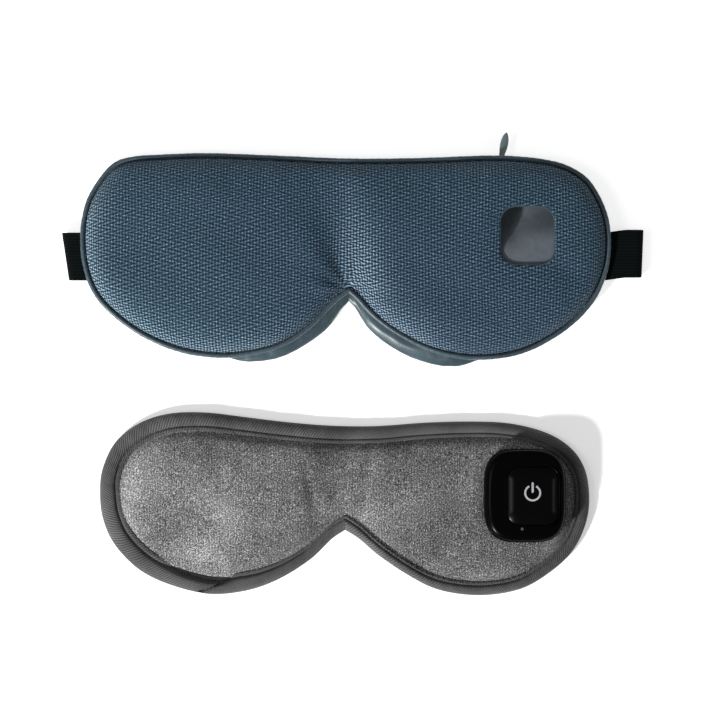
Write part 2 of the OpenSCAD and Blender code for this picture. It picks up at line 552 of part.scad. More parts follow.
module power_button() color([0.05, 0.05, 0.055]) at_controller() translate([key_dx, 0, 0]) {
    top = ctrl_h + key_rise;
    translate([0, 0, flange_z + flange_t - 0.02])
        linear_extrude(top - 1.2 - flange_z - flange_t) polygon(round_rect(key_w, key_l, 5));
    hull() for (s = [[0, 1.3], [0.25, 0.55], [0.8, 0.15], [1.6, 0]])
        translate([0, 0, top - s[1] - 0.1]) linear_extrude(0.1)
            polygon(round_rect(key_w - 2 * s[0], key_l - 2 * s[0], 5 - s[0]));
    translate([0, 0, flange_z]) linear_extrude(flange_t) polygon(round_rect(key_w + 1.6, key_l + 1.2, 5.6));
}
module switch_plunger() color([0.1, 0.1, 0.1]) at_controller()
    translate([key_dx, 0, board_z + board_t + switch_h + key_travel + 0.12])
        cylinder(h = flange_z - board_z - board_t - switch_h - key_travel - 0.14, d = 3, $fn = 32);

cover_front();
cover_back();
pocket_lining();
cover_piping();
window_binding();
zip_tape_upper();
zip_tape_lower();
zip_teeth_upper();
zip_teeth_lower();
zip_stops();
zip_slider();
zip_pull_pin();
zip_pull();
strap_short();
strap_long();
strap_ring();
strap_adjuster();
pad_front();
pad_back();
edge_binding();
foam_core();
heating_film();
thermistor();
motor_case_left();
motor_cover_left();
motor_shaft_left();
motor_rotor_left();
motor_case_right();
motor_cover_right();
motor_shaft_right();
motor_rotor_right();
motor_leads();
heater_leads();
controller_base();
controller_top();
controller_screws();
circuit_board();
battery_cell();
tact_switch();
usb_socket();
status_led();
light_pipe();
power_button();
switch_plunger();
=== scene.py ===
"""Looks for the eye massager mask: a knitted zip cover and the heated pad that goes inside it."""
import json
import math

import bmesh
import bpy
import numpy as np
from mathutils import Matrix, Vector
from mathutils.bvhtree import BVHTree
from mathutils.geometry import delaunay_2d_cdt


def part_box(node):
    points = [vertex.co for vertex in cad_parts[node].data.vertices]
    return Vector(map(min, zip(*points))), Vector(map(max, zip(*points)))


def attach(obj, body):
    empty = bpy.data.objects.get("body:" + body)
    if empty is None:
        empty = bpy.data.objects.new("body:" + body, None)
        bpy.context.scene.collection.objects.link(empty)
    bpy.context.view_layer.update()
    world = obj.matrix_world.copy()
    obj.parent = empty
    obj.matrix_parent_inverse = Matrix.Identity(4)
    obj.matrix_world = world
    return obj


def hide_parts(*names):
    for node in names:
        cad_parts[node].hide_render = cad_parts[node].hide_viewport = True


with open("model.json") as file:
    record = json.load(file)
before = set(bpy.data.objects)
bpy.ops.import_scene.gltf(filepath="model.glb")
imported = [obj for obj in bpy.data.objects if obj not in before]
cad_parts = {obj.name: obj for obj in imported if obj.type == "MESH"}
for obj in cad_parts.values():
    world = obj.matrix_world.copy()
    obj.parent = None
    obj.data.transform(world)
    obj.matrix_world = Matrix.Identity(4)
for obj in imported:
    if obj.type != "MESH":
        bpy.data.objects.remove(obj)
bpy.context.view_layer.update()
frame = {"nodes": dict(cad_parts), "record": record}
scene = bpy.context.scene
MM = 0.001
TURN = 2 * math.pi
# The cloth solver works on panels ten times their size, for this many frames
SIM_SCALE = 10 * MM
SIM_FRAMES = 20

# The middles of the cover and the pad, in millimetres, as in the CAD model
COVER_AT = (-2.0, 44.5)
PAD_AT = (-3.2, -59.0)
# The line down the middle of an outline: its share of the length, and the hump over the nose
SPINE_REACH = 0.78
SPINE_WIDTH = 24.0
COVER_RISE = 13.5
PAD_RISE = 11.0


def span(node):
    """Lowest and highest corner of a CAD node, in millimetres."""
    low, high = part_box(node)
    return np.array(low) / MM, np.array(high) / MM


piping_low, piping_high = span("cover_piping")
PIPING_R = (piping_high[2] - piping_low[2]) / 2
SEAM_Z = (piping_high[2] + piping_low[2]) / 2
COVER_TOP = span("cover_front")[1][2]
PAD_TOP = span("pad_front")[1][2]


# ---------------------------------------------------------------- camera, floor and light
def aim(obj, target):
    obj.rotation_euler = (Vector(target) - obj.location).to_track_quat("-Z", "Y").to_euler()


CAMERA_AT = (0.00076, 0.00105, 1.21)
SENSOR = 36
# How wide the view is, at this distance from the camera
VIEW_WIDTH = 0.3009
VIEW_DISTANCE = 1.2
FLOOR_HALF = 3.0
FLOOR_DROP = 0.0002


def add_camera():
    """Straight above the layout, with the forehead side up."""
    camera = bpy.data.objects.new("camera", bpy.data.cameras.new("camera"))
    scene.collection.objects.link(camera)
    camera.location = CAMERA_AT
    camera.data.lens = SENSOR * VIEW_DISTANCE / VIEW_WIDTH
    camera.data.clip_end = 20
    scene.camera = camera


def add_light(place, target, power, **settings):
    light = bpy.data.objects.new("light", bpy.data.lights.new("light", "AREA"))
    light.data.energy = power
    for key, value in settings.items():
        setattr(light.data, key, value)
    light.location = place
    scene.collection.objects.link(light)
    aim(light, target)


def add_studio():
    """A key light, two panels that the glossy case mirrors, and paper that glows a little."""
    scene.view_settings.view_transform = "Standard"
    world = bpy.data.worlds.new("studio")
    world.use_nodes = True
    background = world.node_tree.nodes["Background"].inputs
    background["Color"].default_value = (1, 1, 1, 1)
    background["Strength"].default_value = 0.27
    scene.world = world
    case = (0.07, -0.055, 0)
    add_light((-0.807, -0.829, 0.751), (0, 0, 0), 26, size=0.10)
    add_light((-0.62, -0.03, 0.80), case, 1.6, shape="RECTANGLE", size=0.3, size_y=0.3)
    add_light((0.72, -0.07, 0.70), case, 0.35, shape="RECTANGLE", size=0.16, size_y=0.22)
    mesh = bpy.data.meshes.new("floor")
    corners = [(-1, -1), (1, -1), (1, 1), (-1, 1)]
    mesh.from_pydata([(x * FLOOR_HALF, y * FLOOR_HALF, 0) for x, y in corners], [], [(0, 1, 2, 3)])
    floor = bpy.data.objects.new("floor", mesh)
    scene.collection.objects.link(floor)
    floor.location.z = -FLOOR_DROP
    graph = Graph("floor_paper", roughness=0.9, specular=0.1)
    place = graph.place()
    graph.set("Base Color", graph.ramp(graph.noise(place, 400, 2), [(0, 0.86), (1, 0.90)]))
    # Painted light: the paper glows, more towards the top where the cover's shadow falls, which lifts the
    # cast shadows there
    glow = graph.node("ShaderNodeMapRange", graph.split(place)[1], -15, 25, 0.37, 0.68)
    graph.set("Emission Color", (1, 1, 1, 1))
    graph.set("Emission Strength", glow.outputs[0])
    mesh.materials.append(graph.material)


# ---------------------------------------------------------------- materials
def srgb(*levels):
    """A colour given in 0 to 255, as the linear colour that the shaders take."""
    shares = [level / 255 for level in levels]
    return tuple(v / 12.92 if v <= 0.04045 else ((v + 0.055) / 1.055) ** 2.4 for v in shares) + (1,)


SHADER_NAMES = {
    "roughness": "Roughness", "metallic": "Metallic", "specular": "Specular IOR Level",
    "sheen": "Sheen Weight", "sheen_roughness": "Sheen Roughness", "anisotropic": "Anisotropic"}


class Graph:
    """A node material on one Principled shader, built from short calls."""

    def __init__(self, name, colour=None, **constants):
        self.material = bpy.data.materials.new(name)
        self.material.use_nodes = True
        self.tree = self.material.node_tree
        self.shader = self.tree.nodes["Principled BSDF"]
        if colour is not None:
            self.shader.inputs["Base Color"].default_value = colour
        for key, value in constants.items():
            self.shader.inputs[SHADER_NAMES[key]].default_value = value

    def node(self, kind, *inputs, **settings):
        made = self.tree.nodes.new(kind)
        for key, value in settings.items():
            setattr(made, key, value)
        for index, value in enumerate(inputs):
            self.feed(made.inputs[index], value)
        return made

    def feed(self, socket, value):
        if isinstance(value, bpy.types.NodeSocket):
            self.tree.links.new(value, socket)
        elif value is not None:
            socket.default_value = value

    def set(self, name, value):
        self.feed(self.shader.inputs[name], value)

    def place(self):
        """Position in the shared frame, in millimetres."""
        source = self.node("ShaderNodeTexCoord").outputs["Object"]
        return self.node("ShaderNodeVectorMath", source, (1000, 1000, 1000), operation="MULTIPLY").outputs[0]

    def along(self):
        """Millimetres along and across a band, kept in its UV map."""
        source = self.node("ShaderNodeUVMap", uv_map="band").outputs[0]
        return self.node("ShaderNodeVectorMath", source, (1000, 1000, 1000), operation="MULTIPLY").outputs[0]

    def split(self, vector):
        made = self.node("ShaderNodeSeparateXYZ", vector)
        return made.outputs[0], made.outputs[1], made.outputs[2]

    def math(self, operation, a, b=None, c=None):
        return self.node("ShaderNodeMath", a, b, c, operation=operation).outputs[0]

    def add(self, a, b):
        return self.math("ADD", a, b)

    def times(self, a, b):
        return self.math("MULTIPLY", a, b)

    def scaled(self, a, factor, more):
        """a * factor + more"""
        return self.math("MULTIPLY_ADD", a, factor, more)

    def wave(self, value, period, shift=0.0):
        """A cosine of that period, from -1 to 1."""
        return self.math("COSINE", self.scaled(value, TURN / period, shift))

    def noise(self, vector, scale, detail=2.0, roughness=0.5):
        """Noise with scale features in 1000 millimetres' worth of coordinates."""
        made = self.node("ShaderNodeTexNoise")
        self.feed(made.inputs["Vector"], vector)
        made.inputs["Scale"].default_value = scale / 1000
        made.inputs["Detail"].default_value = detail
        made.inputs["Roughness"].default_value = roughness
        return made.outputs["Fac"]

    def stretch(self, vector, factors):
        return self.node("ShaderNodeVectorMath", vector, factors, operation="MULTIPLY").outputs[0]

    def ramp(self, value, stops):
        made = self.node("ShaderNodeValToRGB", value)
        ramp = made.color_ramp
        while len(ramp.elements) < len(stops):
            ramp.elements.new(0.5)
        for element, (place, colour) in zip(ramp.elements, stops):
            element.position = place
            element.color = (colour, colour, colour, 1) if isinstance(colour, (int, float)) else colour
        return made.outputs["Color"]

    def mix(self, factor, a, b, blend="MIX"):
        made = self.node("ShaderNodeMix", data_type="RGBA", blend_type=blend)
        self.feed(made.inputs["Factor"], factor)
        self.feed(made.inputs[6], a)
        self.feed(made.inputs[7], b)
        return made.outputs[2]

    def bump(self, height, distance, strength=1.0, normal=None):
        """Bump whose full height is distance millimetres."""
        made = self.node("ShaderNodeBump")
        made.inputs["Strength"].default_value = strength
        made.inputs["Distance"].default_value = distance * MM
        self.feed(made.inputs["Height"], height)
        if normal is not None:
            self.feed(made.inputs["Normal"], normal)
        return made.outputs[0]


def knit_material():
    """Spacer knit: fine columns, and rows of dark meshes between light stitches; painted highlight where its
    rims and the flank right of the nose face the key light, where the weave is also more open.
    """
    g = Graph("knit", roughness=0.8, specular=0.2, sheen=0.1, sheen_roughness=0.4)
    place = g.along()
    x, y, _ = g.split(place)
    x = g.scaled(g.noise(place, 18, 1), 3.0, x)
    y = g.scaled(g.noise(g.stretch(place, (0.6, 1, 1)), 25, 1), 6.0, y)
    column = g.wave(x, 1.30)
    slow = g.wave(x, 5.45)
    rows = g.times(g.wave(y, 1.77), slow)
    fine = g.times(g.wave(y, 1.18), g.wave(x, 5.45, 1.57))
    weave = g.add(g.times(column, 0.26), g.add(g.times(rows, 0.40), g.times(fine, 0.34)))
    yarn = g.math("SUBTRACT", g.noise(g.stretch(place, (1.1, 1.5, 1)), 1500, 2, 0.7), 0.5)
    painted_light_open = g.node("ShaderNodeAttribute", attribute_name="painted_light_open").outputs["Fac"]
    # Painted highlight on the lit rims and flank, with a more open weave there: stronger weave contrast, then
    # a lighter tone
    weave = g.times(weave, g.scaled(painted_light_open, 0.42, 0.46))
    tone = g.add(g.scaled(painted_light_open, 0.11, weave), g.scaled(yarn, 1.6, 0.49))
    colour = g.ramp(tone, [(0.10, srgb(4, 21, 35)), (0.34, srgb(24, 47, 65)), (0.54, srgb(53, 79, 96)),
                           (0.80, srgb(106, 131, 147)), (0.98, srgb(176, 194, 203))])
    hue = g.ramp(g.noise(place, 12, 2), [(0.38, srgb(126, 130, 152)), (0.62, srgb(114, 140, 142))])
    colour = g.mix(0.35, colour, hue, "SOFT_LIGHT")
    g.set("Base Color", colour)
    g.set("Normal", g.bump(tone, 0.4, 0.9))
    return g.material


def satin_material(name, dark, light, roughness):
    """Smooth grey-teal satin with a faint cross weave."""
    g = Graph(name, roughness=roughness, specular=0.5, sheen=0.25, sheen_roughness=0.35, anisotropic=0.3)
    place = g.place()
    weave = g.noise(g.stretch(place, (1, 3, 1)), 900, 2, 0.6)
    cloud = g.noise(place, 60, 3)
    g.set("Base Color", g.ramp(g.scaled(weave, 0.35, g.times(cloud, 0.65)),
                               [(0.3, dark), (0.7, light)]))
    g.set("Normal", g.bump(g.noise(place, 180, 3), 0.25, 0.5, g.bump(weave, 0.05, 0.5)))
    return g.material


def heather_material():
    """Brushed jersey of light and dark grey yarns, with painted shade that darkens it towards the right,
    where the light falls off.
    """
    g = Graph("heather", roughness=0.95, specular=0.08, sheen=0.12, sheen_roughness=0.5)
    place = g.place()
    fleck = g.noise(g.stretch(place, (1.1, 0.9, 1)), 1900, 2, 0.8)
    rib = g.wave(g.scaled(g.noise(place, 120, 1), 1.6, g.split(place)[0]), 1.13)
    cloud = g.noise(place, 45, 2)
    # Painted shade: darker from left to right, standing in for the light's falloff
    painted_falloff = g.node("ShaderNodeMapRange", g.split(place)[0], -70, 15, 0.02, -0.035).outputs[0]
    tone = g.add(g.scaled(rib, 0.02, fleck), g.scaled(cloud, 0.22, -0.11))
    greys = [(0.29, srgb(12, 12, 13)), (0.42, srgb(74, 74, 74)), (0.56, srgb(126, 126, 126)),
             (0.70, srgb(214, 214, 213))]
    g.set("Base Color", g.ramp(g.add(tone, painted_falloff), greys))
    g.set("Normal", g.bump(fleck, 0.35, 0.9))
    return g.material


def twill_material():
    """Bias binding: fine diagonal ribs that follow the edge."""
    g = Graph("twill", roughness=0.8, specular=0.2, sheen=0.1, sheen_roughness=0.4)
    s, u, _ = g.split(g.along())
    wander = g.noise(g.along(), 150, 2)
    diagonal = g.add(g.times(s, 0.8), g.add(wander, g.times(u, 0.62)))
    rib = g.wave(diagonal, 0.98)
    yarn = g.noise(g.place(), 1400, 2, 0.7)
    cloud = g.noise(g.place(), 50, 2)
    tone = g.add(g.scaled(rib, 0.16, 0.3), g.scaled(yarn, 0.3, g.scaled(cloud, 0.5, -0.25)))
    greys = [(0.15, srgb(44, 44, 44)), (0.5, srgb(80, 80, 80)), (0.85, srgb(124, 124, 123))]
    g.set("Base Color", g.ramp(tone, greys))
    g.set("Normal", g.bump(rib, 0.12, 0.8))
    return g.material


def cloth_material(name, dark, light, period=0.7):
    """Plain woven cloth or tape: crossed threads of one colour."""
    g = Graph(name, roughness=0.9, specular=0.15, sheen=0.1, sheen_roughness=0.4)
    place = g.place()
    x, y, z = g.split(place)
    cross = g.times(g.wave(x, period), g.wave(g.add(y, z), period))
    tone = g.add(g.scaled(cross, 0.12, 0.25), g.times(g.noise(place, 300, 4, 0.7), 0.5))
    g.set("Base Color", g.ramp(tone, [(0.2, dark), (0.8, light)]))
    g.set("Normal", g.bump(cross, 0.08, 0.6))
    return g.material


def elastic_material():
    """Black woven elastic: ribs along it and short weft floats across."""
    g = Graph("elastic", roughness=0.9, specular=0.06)
    place = g.place()
    x, y, _ = g.split(place)
    rib = g.wave(y, 1.25)
    weft = g.times(g.wave(x, 0.8), g.wave(y, 0.625))
    tone = g.add(g.scaled(rib, 0.2, 0.3), g.scaled(weft, 0.15, g.times(g.noise(place, 900, 2), 0.4)))
    g.set("Base Color", g.ramp(tone, [(0.2, srgb(2, 6, 6)), (0.9, srgb(14, 19, 19))]))
    g.set("Normal", g.bump(tone, 0.18, 0.8))
    return g.material


def gloss_material(name, colour, roughness, specular):
    """Polished dark moulding with faint waviness and dust."""
    g = Graph(name, colour, specular=specular)
    place = g.place()
    g.set("Roughness", g.ramp(g.noise(place, 900, 3, 0.7), [(0.35, roughness), (0.75, roughness + 0.08)]))
    g.set("Normal", g.bump(g.noise(place, 40, 2), 0.02, 0.3))
    return g.material


def plastic_material(name, colour, roughness, grain=0.06, metallic=0.0):
    """Moulded plastic or lacquer with a fine grain and slight wear in its tone."""
    g = Graph(name, metallic=metallic, specular=0.4)
    place = g.place()
    lighter = tuple(min(1, v * 1.35 + 0.01) for v in colour[:3]) + (1,)
    worn = g.ramp(g.noise(place, 250, 4, 0.7), [(0.35, 0.0), (0.8, 1.0)])
    g.set("Base Color", g.mix(worn, colour, lighter))
    g.set("Roughness", g.ramp(g.noise(place, 600, 3), [(0.3, roughness - 0.08), (0.7, roughness + 0.1)]))
    g.set("Normal", g.bump(g.noise(place, 2500, 2), grain, 0.5))
    return g.material


# Name: dark and light threads, and the period of the weave
CLOTHS = {
    "lining": (srgb(70, 77, 84), srgb(106, 113, 120)),
    "zip_tape": (srgb(52, 70, 82), srgb(78, 96, 106), 0.5),
    "backing": (srgb(52, 52, 53), srgb(86, 86, 87), 0.9),
    "hem": (srgb(40, 56, 66), srgb(70, 88, 98), 0.5),
    "thread": (srgb(62, 62, 63), srgb(112, 112, 112), 0.3),
}
# Name: colour, roughness, depth of the grain and how metallic
MOULDED = {
    "zip_teeth": (srgb(58, 74, 84), 0.4),
    "zip_metal": (srgb(100, 114, 116), 0.42, 0.03),
    "buckle": (srgb(16, 17, 18), 0.45),
    "foam": (srgb(226, 222, 208), 0.95, 0.3),
    "film": (srgb(196, 138, 62), 0.3),
    "bead": (srgb(30, 30, 30), 0.5),
    "steel": (srgb(190, 191, 193), 0.32, 0.02, 1.0),
    "rotor": (srgb(168, 140, 88), 0.4, 0.03, 1.0),
    "motor_wire": (srgb(170, 36, 32), 0.45),
    "heater_wire": (srgb(222, 221, 214), 0.45),
    "board": (srgb(22, 84, 46), 0.4),
    "cell": (srgb(176, 178, 182), 0.4, 0.05, 0.8),
    "switch": (srgb(90, 90, 90), 0.5),
    "socket": (srgb(184, 185, 188), 0.3, 0.02, 1.0),
    "led": (srgb(236, 236, 226), 0.4),
    "ink": (srgb(158, 159, 162), 0.55, 0.02),
}
MATERIALS = {
    "knit": knit_material(),
    "satin": satin_material("satin", srgb(33, 49, 57), srgb(66, 85, 92), 0.37),
    "piping": satin_material("piping", srgb(34, 50, 58), srgb(64, 82, 91), 0.42),
    "elastic": elastic_material(),
    "heather": heather_material(),
    "twill": twill_material(),
    "case": gloss_material("case", srgb(2, 2, 3), 0.22, 0.05),
    "pipe": gloss_material("pipe", srgb(60, 74, 70), 0.3, 0.3),
    "key": gloss_material("key", srgb(2, 2, 3), 0.2, 0.09),
}
MATERIALS.update({name: cloth_material(name, *look) for name, look in CLOTHS.items()})
MATERIALS.update({name: plastic_material(name, *look) for name, look in MOULDED.items()})


# ---------------------------------------------------------------- outlines
def cut_loop(node, height):
    """The outermost loop where a level plane cuts a CAD node, anticlockwise from the nose notch."""
    bm = bmesh.new()
    bm.from_mesh(frame["nodes"][node].data)
    bmesh.ops.remove_doubles(bm, verts=bm.verts, dist=1e-6)
    geometry = bm.verts[:] + bm.edges[:] + bm.faces[:]
    bmesh.ops.bisect_plane(bm, geom=geometry, plane_co=(0, 0, height * MM), plane_no=(0, 0, 1),
                           clear_inner=True, clear_outer=True)
    bmesh.ops.remove_doubles(bm, verts=bm.verts, dist=1e-6)
    loops = []
    unseen = set(bm.verts)
    while unseen:
        here = min(unseen, key=lambda v: (v.co.x, v.co.y))
        row = []
        while here is not None:
            unseen.discard(here)
            row.append((here.co.x / MM, here.co.y / MM))
            beside = [e.other_vert(here) for e in here.link_edges]
            here = next((v for v in beside if v in unseen), None)
        loops.append(np.array(row))
    bm.free()
    loop = max(loops, key=lambda row: abs(signed_area(row)))
    if signed_area(loop) < 0:
        loop = loop[::-1]
    spacing = 1.2
    kept = [loop[0]]
    for point in loop[1:]:
        if np.linalg.norm(point - kept[-1]) > spacing:
            kept.append(point)
    loop = np.array(kept if np.linalg.norm(kept[-1] - kept[0]) > spacing else kept[:-1])
    middle = (loop[:, 0].min() + loop[:, 0].max()) / 2
    low = np.where((abs(loop[:, 0] - middle) < 25), turning(loop), 0)
    return np.roll(loop, -int(np.argmin(low)), axis=0)


def unit(rows):
    return rows / (np.linalg.norm(rows, axis=1)[:, None] + 1e-9)


def along_row(row):
    """Distance along an open row of points, from 0 at its start."""
    return np.concatenate([[0], np.cumsum(np.linalg.norm(np.diff(row, axis=0), axis=1))])


def at_lengths(row, along, places):
    """The points of a row at those distances along it."""
    return np.column_stack([np.interp(places, along, row[:, k]) for k in range(2)])


def signed_area(row):
    x, y = row[:, 0], row[:, 1]
    return 0.5 * float(np.sum(x * np.roll(y, -1) - y * np.roll(x, -1)))


def turning(row):
    """Sine of the turn at each point of an anticlockwise loop: negative where it is hollow."""
    a = row - np.roll(row, 1, axis=0)
    b = np.roll(row, -1, axis=0) - row
    lengths = np.linalg.norm(a, axis=1) * np.linalg.norm(b, axis=1)
    return (a[:, 0] * b[:, 1] - a[:, 1] * b[:, 0]) / (lengths + 1e-9)


def even_curve(row, count):
    """A smooth line through the points of an open row, as count points at even distances."""
    points = np.vstack([2 * row[0] - row[1], row, 2 * row[-1] - row[-2]])
    steps = np.linspace(0, len(row) - 1 - 1e-6, len(row) * 8)
    at = steps.astype(int)
    t = (steps - at)[:, None]
    a, b, c, d = (points[at + k] for k in range(4))
    bent = (2 * a - 5 * b + 4 * c - d) * t ** 2 + (3 * b - a - 3 * c + d) * t ** 3
    dense = 0.5 * (2 * b + (c - a) * t + bent)
    length = along_row(dense)
    return at_lengths(dense, length, np.linspace(0, length[-1], count))


class Outline:
    """A two-lobed outline with the line down its middle, and places given as (around, inwards)."""

    def __init__(self, row, centre, rise, count):
        self.edge = even_curve(np.vstack([row, row[:1]]), count + 1)[:-1]
        self.centre = np.array(centre)
        own = self.edge - self.centre
        middle = np.stack([own[:, 0] * SPINE_REACH, rise * np.exp(-(own[:, 0] / SPINE_WIDTH) ** 2)], axis=1)
        self.way = middle - own
        side = unit(np.roll(own, -1, axis=0) - np.roll(own, 1, axis=0))
        self.out = np.column_stack([side[:, 1], -side[:, 0]])
        self.length = np.linalg.norm(self.way, axis=1)
        self.along = along_row(np.vstack([self.edge, self.edge[:1]]))
        self.round = self.along[-1]

    def share(self, u):
        """How much of the way to the middle a distance inwards is, as the CAD model counts it."""
        k = u / self.length
        return np.where(k < 0.4, k, 0.4 + (k - 0.4) / 5)

    def ring(self, share):
        return self.edge + self.way * np.reshape(share, (-1, 1))

    def depth(self, xy):
        return distance(self.edge, xy)

    def nearest(self, xy):
        """Which point of the edge is nearest to each place."""
        return np.array([int(np.argmin(((self.edge - p) ** 2).sum(axis=1))) for p in xy])


def distance(row, xy):
    """Distance of each point from a closed row."""
    a = row
    ab = np.roll(row, -1, axis=0) - row
    best = np.full(len(xy), 1e9)
    for start in range(0, len(xy), 2000):
        p = xy[start:start + 2000, None, :]
        t = np.clip(((p - a) * ab).sum(-1) / (ab ** 2).sum(-1), 0, 1)
        best[start:start + 2000] = np.linalg.norm(p - (a + t[..., None] * ab), axis=-1).min(axis=1)
    return best


def inside(row, xy):
    """Which points lie inside a closed row."""
    a, b = row, np.roll(row, -1, axis=0)
    hit = np.zeros(len(xy), bool)
    for (ax, ay), (bx, by) in zip(a, b):
        crosses = (ay > xy[:, 1]) != (by > xy[:, 1])
        if not crosses.any():
            continue
        edge_x = ax + (xy[:, 1] - ay) * (bx - ax) / (by - ay + 1e-12)
        hit ^= crosses & (xy[:, 0] < edge_x)
    return hit


class Membrane:
    """The shape that an evenly blown-up skin takes over an outline: 0 at its edge, top at its highest."""

    def __init__(self, outline, step=1.5, rounds=2500):
        low = outline.edge.min(axis=0) - 3 * step
        high = outline.edge.max(axis=0) + 3 * step
        self.low, self.step = low, step
        nx, ny = ((high - low) / step).astype(int) + 1
        gx, gy = np.meshgrid(low[0] + step * np.arange(nx), low[1] + step * np.arange(ny), indexing="ij")
        free = inside(outline.edge, np.stack([gx.ravel(), gy.ravel()], axis=1)).reshape(nx, ny)
        h = np.where(free, 400.0, 0.0)
        for _ in range(rounds):
            around = (np.roll(h, 1, 0) + np.roll(h, -1, 0) + np.roll(h, 1, 1) + np.roll(h, -1, 1)) / 4
            h = np.where(free, around + step ** 2 / 4, 0)
        self.h = h
        self.top = self.h.max()

    def sample(self, xy):
        at = (xy - self.low) / self.step
        i = np.clip(at.astype(int), 0, np.array(self.h.shape) - 2)
        f = at - i
        a, b = self.h[i[:, 0], i[:, 1]], self.h[i[:, 0] + 1, i[:, 1]]
        c, d = self.h[i[:, 0], i[:, 1] + 1], self.h[i[:, 0] + 1, i[:, 1] + 1]
        return (a * (1 - f[:, 0]) + b * f[:, 0]) * (1 - f[:, 1]) + (c * (1 - f[:, 0]) + d * f[:, 0]) * f[:, 1]


def blunt(row, drop):
    """Rounds off the point of the nose notch, which is the first point of a row."""
    reach = 4.0
    near = np.exp(-((row - row[0]) ** 2).sum(axis=1) / reach ** 2)
    return row - np.column_stack([np.zeros(len(row)), drop * near])


front = Outline(blunt(cut_loop("cover_piping", SEAM_Z + 0.01), 1.3), COVER_AT, COVER_RISE, 760)
pad = Outline(cut_loop("edge_binding", 2.61), PAD_AT, PAD_RISE, 900)


# ---------------------------------------------------------------- mesh building
def quads(rows, around, closed_round=True, closed_section=False):
    """Faces between rows of points, where each row has around points."""
    faces = []
    for j in range(rows if closed_section else rows - 1):
        g = (j + 1) % rows
        for i in range(around if closed_round else around - 1):
            k = (i + 1) % around
            faces.append((j * around + i, j * around + k, g * around + k, g * around + i))
    return faces


def fill(loop, step, hole=None):
    """Grid points inside a loop (and outside a hole in it), and triangles on loop, hole and grid points."""
    low, high = loop.min(axis=0), loop.max(axis=0)
    gx, gy = np.meshgrid(np.arange(low[0], high[0], step), np.arange(low[1], high[1], step * 0.866))
    gx = gx + (np.arange(len(gx))[:, None] % 2) * step / 2
    grid = np.column_stack([gx.ravel(), gy.ravel()])
    grid = grid[inside(loop, grid)]
    grid = grid[distance(loop, grid) > step * 0.6]
    rows = [loop]
    if hole is not None:
        grid = grid[~inside(hole, grid)]
        grid = grid[distance(hole, grid) > step * 0.6]
        rows.append(hole)
    edges = []
    for row in rows:
        base = len(edges)
        edges += [(base + i, base + (i + 1) % len(row)) for i in range(len(row))]
    points = np.vstack(rows + [grid])
    found = delaunay_2d_cdt([Vector(p) for p in points], edges, [], 1, 1e-6)
    source = []
    for place, names in zip(found[0], found[3]):
        if not names:
            points = np.vstack([points, place])
        source.append(names[0] if names else len(points) - 1)
    faces = []
    for face in found[2]:
        a, b, c = (points[source[k]] for k in face)
        turn = (b[0] - a[0]) * (c[1] - a[1]) - (b[1] - a[1]) * (c[0] - a[0])
        faces.append(tuple(source[k] for k in (face if turn > 0 else face[::-1])))
    if hole is not None:
        middles = np.array([points[list(face)].mean(axis=0) for face in faces])
        faces = [face for face, gone in zip(faces, inside(hole, middles)) if not gone]
    return points[len(loop):], faces


def skinned(outline, rings, step, hole=None, low_step=None):
    """Points and faces of rings that run inwards from an outline, with the middle filled.
    With low_step the first ring is filled too, which closes the skin from below."""
    count = len(outline.edge)
    xy = np.vstack(rings)
    faces = quads(len(rings), count)
    inner, triangles = fill(rings[-1], step, hole)
    last = (len(rings) - 1) * count
    shift = len(xy)
    faces += [tuple(last + k if k < count else shift + k - count for k in face) for face in triangles]
    groups = [np.repeat(np.arange(len(rings)), count), np.full(len(inner), len(rings))]
    xy = np.vstack([xy, inner])
    if low_step:
        shift = len(xy)
        inner, triangles = fill(rings[0], low_step)
        faces += [tuple(k if k < count else shift + k - count for k in face[::-1]) for face in triangles]
        groups.append(np.full(len(inner), -1))
        xy = np.vstack([xy, inner])
    return xy, faces, np.concatenate(groups)


def keep_values(obj, name, values):
    """Stores one number at each point of a mesh, which its material can read."""
    obj.data.attributes.new(name, "FLOAT", "POINT").data.foreach_set("value", values.astype(np.float32))


def make(name, points, faces, look, body, replaced=(), uv=None):
    """A smooth mesh from points in millimetres, which rides on a body and may stand for CAD nodes."""
    mesh = bpy.data.meshes.new(name)
    mesh.from_pydata((np.asarray(points, float) * MM).tolist(), [], faces)
    mesh.update()
    if uv is not None:
        layer = mesh.uv_layers.new(name="band")
        corner = np.zeros(len(mesh.loops), int)
        mesh.loops.foreach_get("vertex_index", corner)
        layer.data.foreach_set("uv", (uv[corner] * MM).astype(np.float32).ravel())
    mesh.shade_smooth()
    mesh.materials.append(MATERIALS[look])
    obj = bpy.data.objects.new(name, mesh)
    scene.collection.objects.link(obj)
    if replaced:
        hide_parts(*replaced)
    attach(obj, body)
    return obj


def outward(obj):
    """Turns every face of a closed mesh outwards."""
    bm = bmesh.new()
    bm.from_mesh(obj.data)
    bmesh.ops.recalc_face_normals(bm, faces=bm.faces)
    bm.to_mesh(obj.data)
    bm.free()
    return obj


def ripple(xy, *waves):
    """A sum of slow waves, each given as (size, period, direction in degrees, shift)."""
    total = np.zeros(len(xy))
    for size, period, direction, shift in waves:
        a = math.radians(direction)
        total += size * np.sin(TURN * (xy[:, 0] * math.cos(a) + xy[:, 1] * math.sin(a)) / period + shift)
    return total


def bell(v):
    """1 at 0, and next to nothing past 2 on either side."""
    return np.exp(-v ** 2)


def ease(a, b, v):
    """0 at a, 1 at b, and smooth between."""
    k = np.clip((v - a) / (b - a), 0, 1)
    return k * k * (3 - 2 * k)


